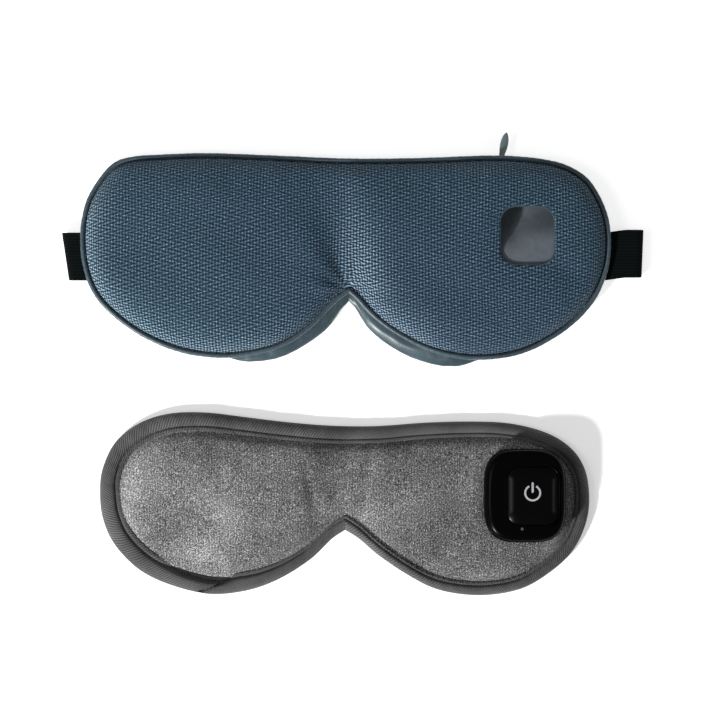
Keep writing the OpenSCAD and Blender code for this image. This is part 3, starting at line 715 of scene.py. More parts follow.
def rounded_loop(centre, half, radius, count):
    """Even points round a rectangle with round corners, anticlockwise from its right side."""
    arcs = []
    for quarter, (sx, sy) in enumerate([(1, 1), (-1, 1), (-1, -1), (1, -1)]):
        for a in np.linspace(quarter * 90, quarter * 90 + 90, 24):
            arcs.append((centre[0] + sx * (half[0] - radius) + radius * math.cos(math.radians(a)),
                         centre[1] + sy * (half[1] - radius) + radius * math.sin(math.radians(a))))
    row = np.array(arcs + arcs[:1])
    length = along_row(row)
    return at_lengths(row, length, np.linspace(0, length[-1], count + 1)[:-1])


def tube(path, radius, sides, name, look, body, replaced=()):
    """A closed tube round a closed path of [x, y, z] points; radius may differ from point to point."""
    path = np.asarray(path, float)
    count = len(path)
    radius = np.broadcast_to(radius, (count,))
    forward = unit(np.roll(path, -1, axis=0) - np.roll(path, 1, axis=0))
    side = unit(np.cross(forward, (0, 0, 1)))
    up = np.cross(side, forward)
    rows = []
    for k in range(sides):
        a = TURN * k / sides
        rows.append(path + radius[:, None] * (math.cos(a) * side + math.sin(a) * up))
    faces = quads(sides, count, closed_section=True)
    return outward(make(name, np.vstack(rows), faces, look, body, replaced))


def sewn_cloth(loop, height, hole, step, pressure=1.3, spare=0.012, cap=1.0):
    """Cloth simulation of one panel, sewn down along its loops and a little larger than the space it has.
    Gives a function for how far the cloth rises above its first height at each place, in millimetres."""
    inner, faces = fill(loop, step, hole)
    xy = np.vstack([loop, inner])
    first = np.column_stack([xy, height(xy)])
    mesh = bpy.data.meshes.new("panel")
    mesh.from_pydata((first * SIM_SCALE).tolist(), [], faces)
    panel = bpy.data.objects.new("panel", mesh)
    scene.collection.objects.link(panel)
    sewn = panel.vertex_groups.new(name="sewn")
    sewn.add(list(range(len(loop) + len(hole))), 1.0, "REPLACE")
    cloth = panel.modifiers.new("cloth", "CLOTH")
    cloth.point_cache.frame_end = SIM_FRAMES
    settings = cloth.settings
    settings.quality = 6
    settings.vertex_group_mass = "sewn"
    settings.shrink_min = -spare
    settings.use_pressure = True
    settings.uniform_pressure_force = pressure
    settings.effector_weights.gravity = 0
    cloth.collision_settings.use_collision = False
    for number in range(1, SIM_FRAMES + 1):
        scene.frame_set(number)
    done = panel.evaluated_get(bpy.context.evaluated_depsgraph_get()).to_mesh()
    last = np.zeros(len(done.vertices) * 3)
    done.vertices.foreach_get("co", last)
    bpy.data.objects.remove(panel)
    bpy.data.meshes.remove(mesh)
    scene.frame_set(1)
    rise = last.reshape(-1, 3)[:, 2] / SIM_SCALE - first[:, 2]
    rise = cap * np.tanh(rise / cap)

    def sample(places):
        out = np.zeros(len(places))
        for start in range(0, len(places), 1000):
            part = places[start:start + 1000, None, :]
            weight = np.exp(-((part - xy) ** 2).sum(-1) / (0.9 * step) ** 2)
            out[start:start + 1000] = (weight * rise).sum(axis=1) / (weight.sum(axis=1) + 1e-6)
        return out
    return sample


# ---------------------------------------------------------------- cover
window_low, window_high = span("window_binding")
WINDOW_AT = (window_low[:2] + window_high[:2]) / 2
WINDOW_HALF = (window_high[:2] - window_low[:2]) / 2 - 1.1
WINDOW_R = 6.5
# The knit's rings, from under the piping inwards, and its thickness
KNIT_RINGS = (1.6, 1.8, 2.15, 2.35, 2.6, 2.95, 3.4, 3.95, 4.6, 5.4, 6.4)
KNIT_T = 1.3
# The satin back's section, as (how far in, height): its hidden top and its under side
BACK_TOP = [(7.0, 6.55), (5.0, 6.45), (3.2, 6.2), (1.9, 5.75), (0.9, 5.15), (0.25, 4.4)]
BACK_UNDER = [(0.0, 3.8), (0.2, 3.2), (0.8, 2.6), (1.9, 2.1), (3.4, 1.85), (5.2, 1.75), (7.0, 1.75)]
# Half the width over which the back's flaps beside the nose can show
FLAP_REACH = 57
# The straight cut for the zip, from the cover's middle: its ends, and how far out it is
ZIP_FROM = -66.0
ZIP_TO = 70.0
ZIP_CUT = 37.5
front_skin = Membrane(front)


def nose_fold(own, tip, width, depth, reach, lean=0.18):
    """A valley that runs up from the nose notch, and small creases that fan out from it."""
    x, y = (own - tip).T
    dx = x + lean * y
    dy = np.maximum(y, 0)
    half = np.where(dx < 0, width, 1.3 * width) + 0.14 * dy
    valley = -depth * bell(dx / half) * np.exp(-dy / reach)
    r = np.hypot(x, y)
    creases = np.cos(9 * np.arctan2(x, y) + 0.6)
    return valley + 0.16 * depth * creases * np.exp(-r / 12) * (1 - np.exp(-r / 4))


def front_height(xy):
    """The knitted front: steep beside the piping, then a low dome with a valley over the nose."""
    depth = front.depth(xy)
    h = front_skin.sample(xy) / front_skin.top
    own = xy - front.centre
    rise = 0.56 * (1 - np.exp(-np.maximum(depth - 2.1, 0) / 2.6)) + 0.44 * h ** 0.8
    z = SEAM_Z + 0.1 + (COVER_TOP - SEAM_Z - 0.3) * rise
    soft = 1 - np.exp(-depth / 5)
    z += soft * nose_fold(own, (0.4, -14), 6.6, 6.6, 38)
    z += soft * ripple(own, (0.30, 61, 20, 0.5), (0.24, 43, 100, 1.3), (0.14, 27, 60, 2.2))
    return z


def lit_rims_open_knit(xy):
    """Where the knit gets painted highlight and a more open weave: over the left and lower rims, and on the
    flank right of the nose, which face the key light.
    """
    x, y = (xy - front.centre).T
    rim = bell(front.depth(xy) / 8)
    left = rim * ease(-20, -75, x) * ease(34, 12, y)
    low = rim * ease(-10, -45, x) * ease(-8, -22, y)
    below = rim * ease(40, 12, abs(x - 12)) * ease(10, -8, y) * (x > 0)
    flank = bell((x - 7 + 0.18 * (y + 14)) / 9) * bell(np.maximum(y + 8, 0) / 26)
    return np.clip(np.maximum.reduce([left, low, below, 0.9 * flank]), 0, 1)


def window_loop(wider, count):
    return rounded_loop(WINDOW_AT, WINDOW_HALF + wider, WINDOW_R + wider, count)


def knit_front():
    """The knit, blown up by the cloth simulation, with its seam margin tucked in under the piping."""
    rings = [front.ring(front.share(u)) for u in KNIT_RINGS]
    xy, faces, _ = skinned(front, rings, 1.1, window_loop(0.2, 120))
    seam = front.ring(front.share(4.0))[::6]
    settle = sewn_cloth(seam, front_height, window_loop(1.2, 32), 3.6)
    z = front_height(xy) + settle(xy)
    count = len(front.edge)
    z[:2 * count] = SEAM_Z - 0.4
    z[2 * count:3 * count] = SEAM_Z - 1.1
    z[3 * count:4 * count] = SEAM_Z - 0.5
    # The weave keeps its size down the steep rim
    flat = xy + unit(front.edge[front.nearest(xy)] - xy) * (0.55 * np.maximum(13.5 - z, 0))[:, None]
    panel = make("knit_front", np.column_stack([xy, z]), faces, "knit", "cover", ("cover_front",), uv=flat)
    # Painted highlight on the rims and flank that face the key light, with a more open weave there
    keep_values(panel, "painted_light_open", lit_rims_open_knit(xy))
    thick = panel.modifiers.new("foam_backing", "SOLIDIFY")
    thick.thickness = KNIT_T * MM
    thick.offset = -1
    # The margin is a tenth of that thick
    full = panel.vertex_groups.new(name="past_the_seam")
    full.add(list(range(3 * count, len(xy))), 1, "REPLACE")
    thick.vertex_group = full.name
    thick.thickness_vertex_group = 0.1


def window_rim():
    loop = window_loop(0.25, 150)
    path = np.column_stack([loop, front_height(loop) - 0.3])
    tube(path, 0.38, 12, "window_rim", "hem", "cover", ("window_binding",))


def lining():
    """The pocket's lining: it shows in the window, where it lies lower at the top and rises to the foot."""
    rings = [front.ring(front.share(u)) for u in (5.0, 6.5)]
    xy, faces, _ = skinned(front, rings, 2.5)
    x, y = (xy - WINDOW_AT).T
    near = np.exp(-(np.hypot(x, y) / 25) ** 6)
    slope = ease(-12, 5, 0.3 * x - y)
    z = 7.3 + near * (7.4 * slope + 0.30 * np.sin(x / 2.6 + y / 16) * (0.4 + slope))
    z = np.minimum(z, np.maximum(front_height(xy) - 1.0, 6.8))
    cloth = make("lining", np.column_stack([xy, z]), faces, "lining", "cover", ("pocket_lining",))


def cover_edge():
    """Satin piping round the front, slightly puckered by its seam."""
    path = front.ring(PIPING_R / front.length)
    s = front.along[:-1]
    pucker = 1 + 0.035 * np.sin(TURN * s / 3.1) + 0.03 * np.sin(TURN * s / 11 + 1)
    z = SEAM_Z + 0.08 * np.sin(TURN * s / 47)
    tube(np.column_stack([path, z]), PIPING_R * pucker, 14, "piping", "piping", "cover", ("cover_piping",))


def back_outline():
    """The front's outline, with the flaps that stand out beside the nose taken from the padded back."""
    flap = blunt(cut_loop("cover_back", 5.6), 1.5)
    inset = front.ring(1.2 / front.length)
    right = [p for p in flap[:len(flap) // 2] if p[0] < FLAP_REACH and p[1] < COVER_AT[1]]
    left = [p for p in flap[len(flap) // 2:] if p[0] > -FLAP_REACH and p[1] < COVER_AT[1]]
    rest = [p for p in inset[::6] if abs(p[0]) >= FLAP_REACH + 4 or p[1] >= COVER_AT[1]]
    return np.array(right + rest + left)


def over_nose(x, y):
    """1 where the strap passes over the nose notch, 0 further out."""
    return (1 - ease(30, 46, abs(x))) * ease(-28, -18, y) * ease(32, 22, y)


def satin_back():
    """The padded back: a round edge, a hollow for the strap under it and a straight cut for the zip."""
    row = back_outline()
    away = row - COVER_AT
    flap = (away[:, 1] < 0) * ease(FLAP_REACH, 44, abs(row[:, 0])) * ease(2, 9, abs(away[:, 0]))
    row[:, 1] += away[:, 1] * 0.055 * flap
    back = Outline(row, COVER_AT, COVER_RISE, 620)
    section = BACK_TOP + BACK_UNDER
    rings = [back.ring(back.share(u)) for u, _ in section]
    xy, faces, group = skinned(back, rings, 1.6, low_step=4)
    own = xy - back.centre
    x, y = own.T
    depth = back.depth(xy)
    z = np.array([height for _, height in section] + [0, 0])[group]
    middle = 1.75 + 3.2 * ease(12, 25, depth)
    z = np.where(group == len(rings), middle, np.where(group == -1, 6.6, z))
    z += np.maximum(4.9 - z, 0) * over_nose(x, y)
    # The flaps slope down to their edge, and dip beside the piping; elsewhere the back fills out under it
    on_flap = ease(-8, -14, y) * ease(60, 50, abs(x))
    slope = 0.45 * on_flap * np.maximum(1 - depth / 5.2, 0)
    z = np.where(z > 1.9, 1.9 + (z - 1.9) * (1 - slope), z)
    filled = (z > 4.2) & (group < len(BACK_TOP))
    z += np.where(filled, 0.9 * bell((depth - 0.6) / 1.6), 0) * (1 - on_flap)
    z -= 1.1 * bell((front.depth(xy) - 0.2) / 0.6) * (z > 4.6) * on_flap
    wrinkle = ripple(own, (0.16, 9.5, 70, 0), (0.10, 6.1, 20, 1), (0.22, 15, 110, 2))
    z += wrinkle * np.exp(-depth / 5) * (abs(y) > 13) * (1 - np.exp(-(depth + 0.3) / 1.5))
    near_zip = ease(ZIP_FROM, ZIP_FROM + 1.2, x) * ease(ZIP_TO, ZIP_TO - 1.2, x) * (y > 20)
    y = np.minimum(y, ZIP_CUT + 12 * (1 - near_zip))
    y += (ZIP_CUT - y) * near_zip * ease(7.0, 3.4, depth)
    points = np.column_stack([np.column_stack([x, y]) + back.centre, z])
    panel = outward(make("satin_back", points, faces, "satin", "cover", ("cover_back",)))


# ---------------------------------------------------------------- pad
case_low, case_high = span("controller_base")
CASE_AT = (case_low[:2] + case_high[:2]) / 2
CASE_HALF = (case_high[:2] - case_low[:2]) / 2
CASE_TOP = span("controller_top")[1][2]
BINDING_W = 8.0
pad_skin = Membrane(pad)


def squircle_distance(xy, centre, half, power=3.4):
    """Roughly the signed distance to a rounded square: negative inside."""
    q = abs(xy - centre) / half
    size = (q[:, 0] ** power + q[:, 1] ** power) ** (1 / power)
    return (size - 1) * half.mean()


def squircle_loop(centre, half, count, power=3.4):
    a = np.linspace(0, TURN, count, endpoint=False)
    c, s = np.cos(a), np.sin(a)
    x = half[0] * np.sign(c) * abs(c) ** (2 / power)
    y = half[1] * np.sign(s) * abs(s) ** (2 / power)
    return np.column_stack([x, y]) + centre


def binding_width():
    """How far in the binding's inner edge lies at each point of the outline: narrow below the right eye."""
    s = pad.along[:-1] / pad.round
    places = [0, 0.06, 0.16, 0.27, 0.36, 0.47, 0.60, 0.72, 0.80, 0.86, 0.93, 1.0]
    widths = [5.3, 4.9, 4.7, 5.4, 6.4, 7.0, 8.0, 8.4, 8.7, 8.6, 6.9, 5.3]
    return np.interp(s, places, widths)


def top_of(nodes, xy):
    """Height of the highest CAD surface of these nodes at each place, or 0."""
    trees = [BVHTree.FromPolygons([v.co for v in frame["nodes"][n].data.vertices],
                                  [p.vertices for p in frame["nodes"][n].data.polygons]) for n in nodes]
    top = np.zeros(len(xy))
    for i, (x, y) in enumerate(xy * MM):
        for tree in trees:
            hit = tree.ray_cast((x, y, 1), (0, 0, -1))[0]
            if hit is not None:
                top[i] = max(top[i], hit.z / MM)
    return top


def trough(own, start, slope, low, high, width, depth):
    """A soft crease that runs up the cloth along x = start + slope * y, between two heights."""
    x, y = own.T
    return -depth * bell((x - start - slope * y) / width) * ease(low - 5, low, y) * ease(high + 5, high, y)


# Where the binding's two ends lap, as a share of the way round
LAP_AT = 0.865
# Beside the lap seam: how wide the gap is, and how far the binding's inner strip sinks into it
LAP_GAP = 3.0
LAP_DROP = 2.4
HEATHER_RINGS = (-0.9, -0.4, 0.0, 0.5, 1.1, 1.8, 2.7, 3.7)


def lap_gap():
    """1 where the heather has come away from the binding beside its lap seam, 0 elsewhere."""
    s = pad.along[:-1] / pad.round
    return ease(0.805, 0.86, s) * ease(0.893, 0.880, s)


def heather_height(xy, wide):
    """The heather panel: a steep edge inside the binding, a flat middle and soft creases over the nose."""
    own = xy - pad.centre
    nearest = pad.nearest(xy)
    h = np.clip(pad_skin.sample(xy) / pad_skin.top * 1.2 - 0.2, 0, 1)
    opening = lap_gap()[nearest]
    inner = np.maximum(pad.depth(xy) - wide[nearest] - LAP_GAP * opening - 0.25, 0)
    soft = 1 - np.exp(-inner / 4)
    z = 3.5 + (PAD_TOP - 3.5) * (0.80 * (1 - np.exp(-inner / 2.2)) + 0.20 * h)
    z -= 1.6 * opening * np.exp(-inner / 0.4)
    z += soft * nose_fold(own, (0, -10), 7, 0.3, 20, 0.0)
    z += soft * ripple(own, (0.16, 52, 15, 0.2), (0.14, 33, 80, 1.0), (0.12, 23, 130, 2.0))
    z += soft * trough(own, -13.4, -0.18, -8, 12, 2.6, 0.95)
    z += soft * trough(own, 7.5, 0.195, -4, 26, 2.8, 0.8)
    return z - 0.5 * np.exp(-np.maximum(squircle_distance(xy, CASE_AT, CASE_HALF), 0) / 1.6)


def heather_front():
    """The heather, blown up by the cloth simulation, and kept above the foam and the heating film."""
    wide = binding_width()
    gap = LAP_GAP * lap_gap()
    rings = [pad.ring(pad.share(wide - 1.6))]
    rings += [pad.ring(pad.share(wide + u + gap)) for u in HEATHER_RINGS]
    hole = squircle_loop(CASE_AT, CASE_HALF + 0.2, 160)
    xy, faces, _ = skinned(pad, rings, 1.1, hole)
    seam = pad.ring(pad.share(wide + 3.2))[::7]
    around_case = squircle_loop(CASE_AT, CASE_HALF + 0.9, 36)
    settle = sewn_cloth(seam, lambda places: heather_height(places, wide), around_case, 3.2, cap=0.6)
    z = heather_height(xy, wide) + settle(xy)
    for shift in ((0, 0), (0.8, 0), (-0.8, 0), (0, 0.8), (0, -0.8)):
        z = np.maximum(z, top_of(["foam_core", "heating_film"], xy + shift) + 0.12)
    panel = make("heather_front", np.column_stack([xy, z]), faces, "heather", "insert", ("pad_front",))


def pad_underside():
    section = [(14, 1.2), (BINDING_W + 0.3, 1.6), (3.0, 1.9), (3.0, 1.3), (BINDING_W + 0.1, 1.0),
               (BINDING_W + 0.3, 0.12), (9.2, 0.0), (11, 0.0)]
    rings = [pad.ring(pad.share(u)) for u, _ in section]
    xy, faces, group = skinned(pad, rings, 2.0, low_step=4)
    z = np.array([z for _, z in section] + [0, 0])[group]
    own = xy - pad.centre
    middle = 0.45 * ease(11, 24, pad.depth(xy)) * (1 + 0.5 * ripple(own, (0.5, 31, 35, 0), (0.5, 22, 120, 1)))
    z = np.where(group == len(rings), middle, np.where(group == -1, 1.4, z))
    points = np.column_stack([xy, z])
    panel = outward(make("pad_underside", points, faces, "backing", "insert", ("pad_back",)))


# Section of the binding as (how far in, height): 0 is its outer edge and 1 its inner edge
BINDING_SECTION = [
    (1.0, 3.3), (1.0, 3.9), (0.975, 4.3), (0.94, 4.5), (0.88, 4.55), (0.82, 4.45), (0.785, 4.2),
    (0.765, 3.8), (0.75, 3.55), (0.735, 3.8), (0.715, 4.3), (0.68, 4.72), (0.62, 5.0), (0.53, 5.18),
    (0.42, 5.15), (0.31, 4.95), (0.21, 4.6), (0.13, 4.1), (0.07, 3.55), (0.03, 3.0), (0.0, 2.4),
    (0.01, 1.8), (0.05, 1.1), (0.12, 0.6), (0.22, 0.25), (0.35, 0.06), (0.6, 0.02), (1.0, 0.02),
    (1.0, 0.85), (0.6, 0.9), (0.4, 1.0), (0.28, 1.3), (0.2, 1.9), (0.19, 2.5), (0.24, 2.9),
    (0.34, 3.1), (0.5, 3.2), (0.8, 3.2)]
# The groove of the inner row of stitches lies here: the main band outside it, a narrow strip inside it
GROOVE = 0.74


def binding_ring(share):
    """A line round the pad at that share of the binding's width, pushed out a little at its outer edge."""
    wide = binding_width()
    u = share * (wide + 0.6) - 0.6 - 1.7 * lap_gap() * ease(0.3, 0.75, share)
    within = pad.ring(pad.share(np.maximum(u, 0)))
    line = np.where((u > 0)[:, None], within, pad.edge + pad.out * -u[:, None])
    return line + np.array([0, -0.4]) * (1 - share)


def binding():
    """The twill binding, whose upper layer begins at the lap with a sharp edge beside a dark crack."""
    s = pad.along[:-1]
    rows, heights, uv = [], [], []
    path = 0.0
    before = BINDING_SECTION[0]
    fold = 0.10 * np.sin(TURN * s / 17) + 0.05 * np.sin(TURN * s / 5.3 + 1)
    for share, z in BINDING_SECTION:
        path += math.hypot(BINDING_W * (share - before[0]), z - before[1])
        before = (share, z)
        rows.append(binding_ring(share))
        edge = pad.round * LAP_AT + 12 * share
        lift = 0.0
        if share < GROOVE and z > 2.2:
            lift = 0.9 * ease(edge - 0.3, edge + 0.9, s) * ease(edge + 45, edge + 15, s)
            lift = lift - 2.6 * bell((s - edge + 1.0) / 0.8) * (z > 3)
        if share > GROOVE and z > 3.4:
            lift = -LAP_DROP * lap_gap()
        heights.append(z + lift + fold * (z > 4))
        uv.append(np.column_stack([s, np.full(len(s), path)]))
    points = np.column_stack([np.vstack(rows), np.concatenate(heights)])
    faces = quads(len(rows), len(s), closed_section=True)
    make("binding", points, faces, "twill", "insert", ("edge_binding",), uv=np.vstack(uv))


def stitches():
    """Two rows of thread along the binding's inner edge, each stitch a short round bead."""
    points, faces = [], []
    pitch, length, r, sides = 2.7, 1.9, 0.17, 6
    count = int(pad.round / pitch)
    for share, z in ((0.75, 3.75), (0.965, 4.4)):
        line = binding_ring(share)
        loop = np.vstack([line, line[:1]])
        along = along_row(loop)
        for n in range(count):
            middle = (n + 0.5) * along[-1] / count
            low = z - LAP_DROP * np.interp(middle, along[:-1], lap_gap())
            a, b = at_lengths(loop, along, [middle - length / 2, middle + length / 2])
            forward = (b - a) / (np.linalg.norm(b - a) + 1e-9)
            side = np.array([-forward[1], forward[0]])
            base = len(points)
            for t in (0, 0.15, 0.5, 0.85, 1):
                fat = r * (0.35 + 0.65 * math.sin(math.pi * min(max(t, 0.08), 0.92)))
                height = low + 0.14 * math.sin(math.pi * t) - 0.06
                for q in range(sides):
                    turn = TURN * q / sides
                    x, y = a + (b - a) * t + side * fat * math.cos(turn)
                    points.append((x, y, height + fat * math.sin(turn)))
            faces += [tuple(base + k for k in face) for face in quads(5, sides)]
    make("stitches", points, faces, "thread", "insert")


# ---------------------------------------------------------------- controller
def stacked(name, loops, look, body, replaced, cap_top=False):
    """A skin through level loops with the same number of points, given as (loop, height)."""
    count = len(loops[0][0])
    points = np.vstack([np.column_stack([loop, np.broadcast_to(z, (count,))]) for loop, z in loops])
    faces = quads(len(loops), count)
    if cap_top:
        middle = len(points)
        points = np.vstack([points, np.append(loops[-1][0].mean(axis=0), np.max(loops[-1][1]))])
        last = (len(loops) - 1) * count
        faces += [(last + i, last + (i + 1) % count, middle) for i in range(count)]
    return outward(make(name, points, faces, look, body, replaced))


key_low, key_high = span("power_button")
KEY_AT = (key_low[:2] + key_high[:2]) / 2
KEY_HALF = (key_high[:2] - key_low[:2]) / 2 - (0.8, 0.6)
KEY_TOP = key_high[2]
KEY_R = 5.0


# Points round each loop of the case and the key, and how thick the case's wall is
ROUND = 192
WALL = 1.4


def case_loop(inset):
    return squircle_loop(CASE_AT, CASE_HALF - inset, ROUND)


def key_hole(wider):
    return rounded_loop(KEY_AT, KEY_HALF + 0.15 + wider, KEY_R + 0.15 + wider, ROUND)


def controller_shell():
    """The case: a tray with a round foot, and a lid with a round shoulder and the key's hole."""
    base_low, base_high = case_low[2], case_high[2]
    tray = [(WALL, base_high - 0.4), (0.15, base_high - 0.35), (0.02, base_high - 0.5),
            (0, base_low + 1.6), (0.3, base_low + 0.7), (1.2, base_low + 0.1), (2.2, base_low)]
    loops = [(case_loop(inset), z) for inset, z in tray]
    stacked("case_tray", loops, "case", "insert", ("controller_base",))
    lid = [(WALL, base_high + 0.1), (0.02, base_high - 0.05), (0, base_high + 0.15),
           (0, base_high + 2.2), (0.12, base_high + 3.3)]
    for a in np.linspace(10, 90, 9):
        k = math.radians(a)
        lid.append((0.12 + 3.0 * (1 - math.cos(k)), CASE_TOP - 3.1 * (1 - math.sin(k))))
    loops = [(case_loop(inset), z) for inset, z in lid]
    start = case_loop(3.12)
    rim = key_hole(1.3)
    loops += [(start * (1 - t) + rim * t, CASE_TOP) for t in (0.35, 0.7, 1.0)]
    hole = [(0.7, 0), (0.3, 0.06), (0.08, 0.22), (0.0, 0.5), (0.0, 1.5), (0.6, 1.55)]
    loops += [(key_hole(wider), CASE_TOP - down) for wider, down in hole]
    stacked("case_lid", loops, "case", "insert", ("controller_top",))


def power_key():
    """The glossy key: upright sides and a low dome."""
    dome, reach = 1.35, 4.3
    section = [(-0.5, 3.6), (-0.5, 3.1), (0, 3.05), (0, 1.6)]
    insets = (0.06, 0.2, 0.45, 0.8, 1.2, 1.6, 2.0, 2.5, 3.0, 3.6, reach)
    section += [(inset, dome * (1 - inset / reach) ** 2) for inset in insets]
    loops = [(rounded_loop(KEY_AT, KEY_HALF - inset, KEY_R - 0.6 * max(inset, 0), ROUND), KEY_TOP - down)
             for inset, down in section]
    stacked("power_key", loops, "key", "power_button", ("power_button",), cap_top=True)


def power_symbol():
    """The usual power sign, printed on the key: an open ring with an upright bar."""
    centre = KEY_AT + (-0.1, 1.4)
    outer, stroke, z, thick = 3.5, 0.78, KEY_TOP + 0.005, 0.035
    points, faces = [], []

    def slab(outline):
        base = len(points)
        count = len(outline)
        for level in (z, z + thick):
            points.extend((x, y, level) for x, y in outline)
        faces.append(tuple(base + count + i for i in range(count)))
        faces.append(tuple(base + i for i in reversed(range(count))))
        faces.extend((base + i, base + (i + 1) % count, base + count + (i + 1) % count, base + count + i)
                     for i in range(count))

    def on_circle(r, a, up=0.0):
        return centre[0] + r * math.cos(a), centre[1] + up + r * math.sin(a)

    arc = [math.radians(a) for a in np.linspace(118, 422, 64)]
    r_in = outer - stroke
    for a, b in zip(arc, arc[1:]):
        slab([on_circle(r_in, a), on_circle(outer, a), on_circle(outer, b), on_circle(r_in, b)])
    half = 0.45
    bar = [on_circle(half, a, 4.0) for a in np.linspace(0, math.pi, 9)]
    bar += [on_circle(half, a, 0.5) for a in np.linspace(math.pi, TURN, 9)]
    slab(bar)
    sign = make("power_symbol", points, faces, "ink", "power_button")
    sign.data.shade_flat()


def light_lens():
    """The clear end of the light pipe, a low dome in the case's top."""
    low, high = span("light_pipe")
    centre, r = (low[:2] + high[:2]) / 2, (high[0] - low[0]) / 2
    angles = np.linspace(0, TURN, 25)[:-1]
    circle = np.column_stack([np.cos(angles), np.sin(angles)]) * r
    section = [(1, low[2]), (1, high[2] + 0.01), (0.93, high[2] + 0.05), (0.6, high[2] + 0.1)]
    loops = [(circle * k + centre, z) for k, z in section]
    stacked("light_lens", loops, "pipe", "insert", ("light_pipe",), cap_top=True)


# ---------------------------------------------------------------- strap, zip and hardware
STRAP_T = 0.8
# Heights of the strap's middle: on the floor, under the cover, over the ring's bars, and where it is sewn in
LOW = STRAP_T / 2
RUN_Z = 0.7 + LOW
ring_low, ring_high = span("strap_ring")
RING_X = (ring_low[0] + ring_high[0]) / 2
BAR_Z = (ring_low[2] + ring_high[2]) / 2
BACK_Z = 2 * BAR_Z - RUN_Z
SEWN_Z = 4.9 + LOW
BAR_DX = 2.2


def half_turn(x, z0, z1, side):
    """Half a circle between two heights, which bulges to that side of x."""
    r = abs(z1 - z0) / 2
    way = 1 if z1 > z0 else -1
    return [(x + side * r * math.cos(a), (z0 + z1) / 2 + way * r * math.sin(a))
            for a in np.linspace(-math.pi / 2, math.pi / 2, 13)]


def strap(name, route, node, skew):
    """Ribbed elastic along a route of (x, z) points. skew(x, y) moves it sideways in plan."""
    low, high = span(node)
    route = np.array(route, float)
    length = along_row(route)
    line = at_lengths(route, length, np.linspace(0, length[-1], max(60, int(length[-1] / 0.8))))
    across = np.linspace(low[1], high[1], 65)
    middle = (low[1] + high[1]) / 2
    half = (high[1] - low[1]) / 2
    forward = unit(np.gradient(line, axis=0))
    normal = np.stack([-forward[:, 1], forward[:, 0]], axis=1)
    edge = np.clip((half - abs(across - middle)) / 0.5, 0, 1)
    thick = LOW * np.sqrt(1 - (1 - edge) ** 2 * 0.85) * (0.93 + 0.06 * np.cos(TURN * across / 1.25))
    section = [(y, t) for y, t in zip(across, thick)] + [(y, -t) for y, t in zip(across[::-1], thick[::-1])]
    points = []
    for y, t in section:
        ring = line + normal * t
        moved = skew(ring[:, 0], np.full(len(ring), y))
        points.append(np.column_stack([moved[0], moved[1], ring[:, 1]]))
    count = len(line)
    faces = quads(len(section), count, closed_round=False, closed_section=True)
    faces.append(tuple(j * count for j in range(len(section))))
    faces.append(tuple(j * count + count - 1 for j in reversed(range(len(section)))))
    outward(make(name, np.vstack(points), faces, "elastic", "cover", (node,)))


def straps():
    """Each strap folds back under the cover, runs along it and goes round its bar of the ring."""
    right = span("strap_long")[1][0]
    left = span("strap_short")[0][0]
    turn = (SEWN_Z - LOW) / 2
    end = 104
    top_y = span("strap_long")[1][1]
    route = [(end + COVER_AT[0], SEWN_Z)] + half_turn(right - LOW - turn, SEWN_Z, LOW, 1)
    route += [(62, LOW), (50, RUN_Z)]
    route += half_turn(RING_X + BAR_DX, RUN_Z, BACK_Z, -1) + [(34, BACK_Z)]
    lean = lambda x, y: (x - 0.04 * (top_y - y) * ease(112, 120, x), y + 1.2 * ease(104, 116, x))
    strap("strap_right", route, "strap_long", lean)
    route = [(COVER_AT[0] - end, SEWN_Z)] + half_turn(left + LOW + turn, SEWN_Z, LOW, -1)
    route += [(-96, LOW), (-86, RUN_Z)]
    route += half_turn(RING_X - BAR_DX, RUN_Z, BACK_Z, 1)
    step = RUN_Z + STRAP_T + 0.1
    route += [(RING_X - BAR_DX - 5, step), (RING_X - BAR_DX - 12, step)]
    lean = lambda x, y: (x + 0.15 * (top_y - y) * ease(-113, -121, x), y)
    strap("strap_left", route, "strap_short", lean)


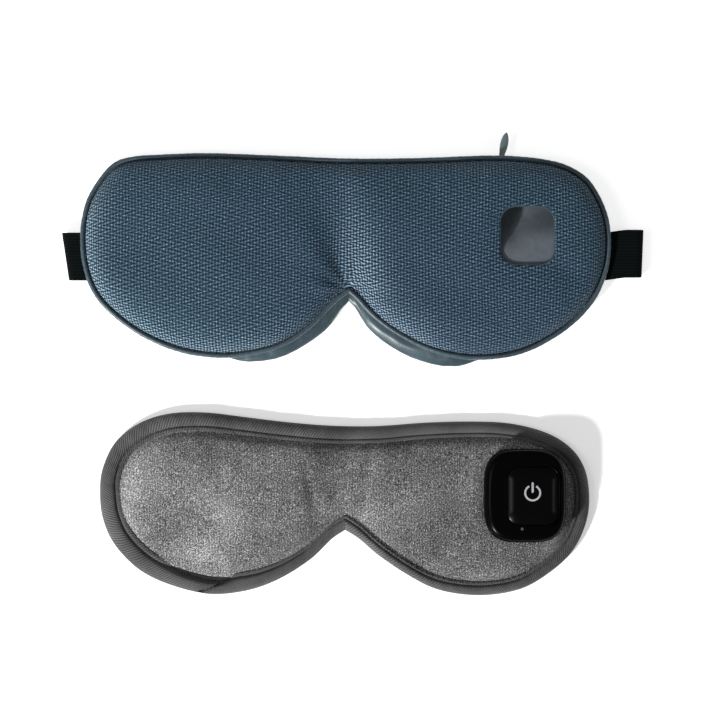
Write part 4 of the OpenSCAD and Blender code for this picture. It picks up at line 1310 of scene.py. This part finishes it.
def zip_leaf():
    """The pull: a flat leaf that hangs from the pin, turned about its own length."""
    pin_low, pin_high = span("zip_pull_pin")
    pin = (pin_low + pin_high) / 2
    pull_high = span("zip_pull")[1]
    length = (pull_high[1] - pin[1]) / math.cos(math.radians(10)) + 0.05
    rows = []
    count = 28
    for t in np.linspace(0, 1, 30):
        along = -0.85 + (length + 0.85) * t
        half = 0.85 + 1.15 * math.sin(math.pi * min(1, max(0, (t - 0.05)) / 0.98) ** 0.95)
        half *= math.sqrt(max(0.0, 1 - max(0.0, (t - 0.72) / 0.28) ** 2.2)) if t > 0.72 else 1
        half *= math.sqrt(max(0.02, 1 - (1 - t / 0.08) ** 2)) if t < 0.08 else 1
        thick = 0.46 * (1 - 0.25 * t) * (min(1, half / 0.5) ** 0.5)
        ring = []
        for k in range(count):
            a = TURN * k / count
            x = half * math.copysign(abs(math.cos(a)) ** 0.9, math.cos(a))
            z = thick * math.copysign(abs(math.sin(a)) ** 0.7, math.sin(a)) * (1 - 0.25 * math.cos(a) ** 2)
            ring.append((x, along, z))
        rows.append(ring)
    points = np.array(rows).reshape(-1, 3)
    roll, lean = math.radians(32), math.radians(-12)
    x, y, z = points[:, 0], points[:, 1], points[:, 2]
    twist = roll * ease(0.0, 1.6, y)
    x, z = x * np.cos(twist) + z * np.sin(twist), -x * np.sin(twist) + z * np.cos(twist)
    x, y = x * math.cos(lean) - y * math.sin(lean), x * math.sin(lean) + y * math.cos(lean)
    points = np.column_stack([x, y, z]) + pin
    faces = quads(len(rows), count)
    faces.append(tuple(reversed(range(count))))
    faces.append(tuple((len(rows) - 1) * count + k for k in range(count)))
    outward(make("zip_leaf", points, faces, "zip_metal", "zip_pull", ("zip_pull",)))


def finish_cad_nodes():
    """The rest of the CAD model keeps its shape and gets its materials, with slightly rounded edges."""
    rounded = {"strap_ring": 0.3, "strap_adjuster": 0.25, "zip_slider": 0.15, "zip_stops": 0.15,
               "usb_socket": 0.1}
    for part in frame["record"]["subparts"]:
        node = frame["nodes"][part["node"]]
        node.data.materials.clear()
        node.data.materials.append(MATERIALS[part["material_slot"]])
        if part["node"] in rounded:
            bevel = node.modifiers.new("edges", "BEVEL")
            bevel.width = rounded[part["node"]] * MM
            bevel.segments = 3
            bevel.limit_method = "ANGLE"


for build in (add_camera, add_studio, finish_cad_nodes,
              knit_front, window_rim, lining, cover_edge, satin_back,
              heather_front, pad_underside, binding, stitches,
              controller_shell, power_key, power_symbol, light_lens,
              straps, zip_leaf):
    build()
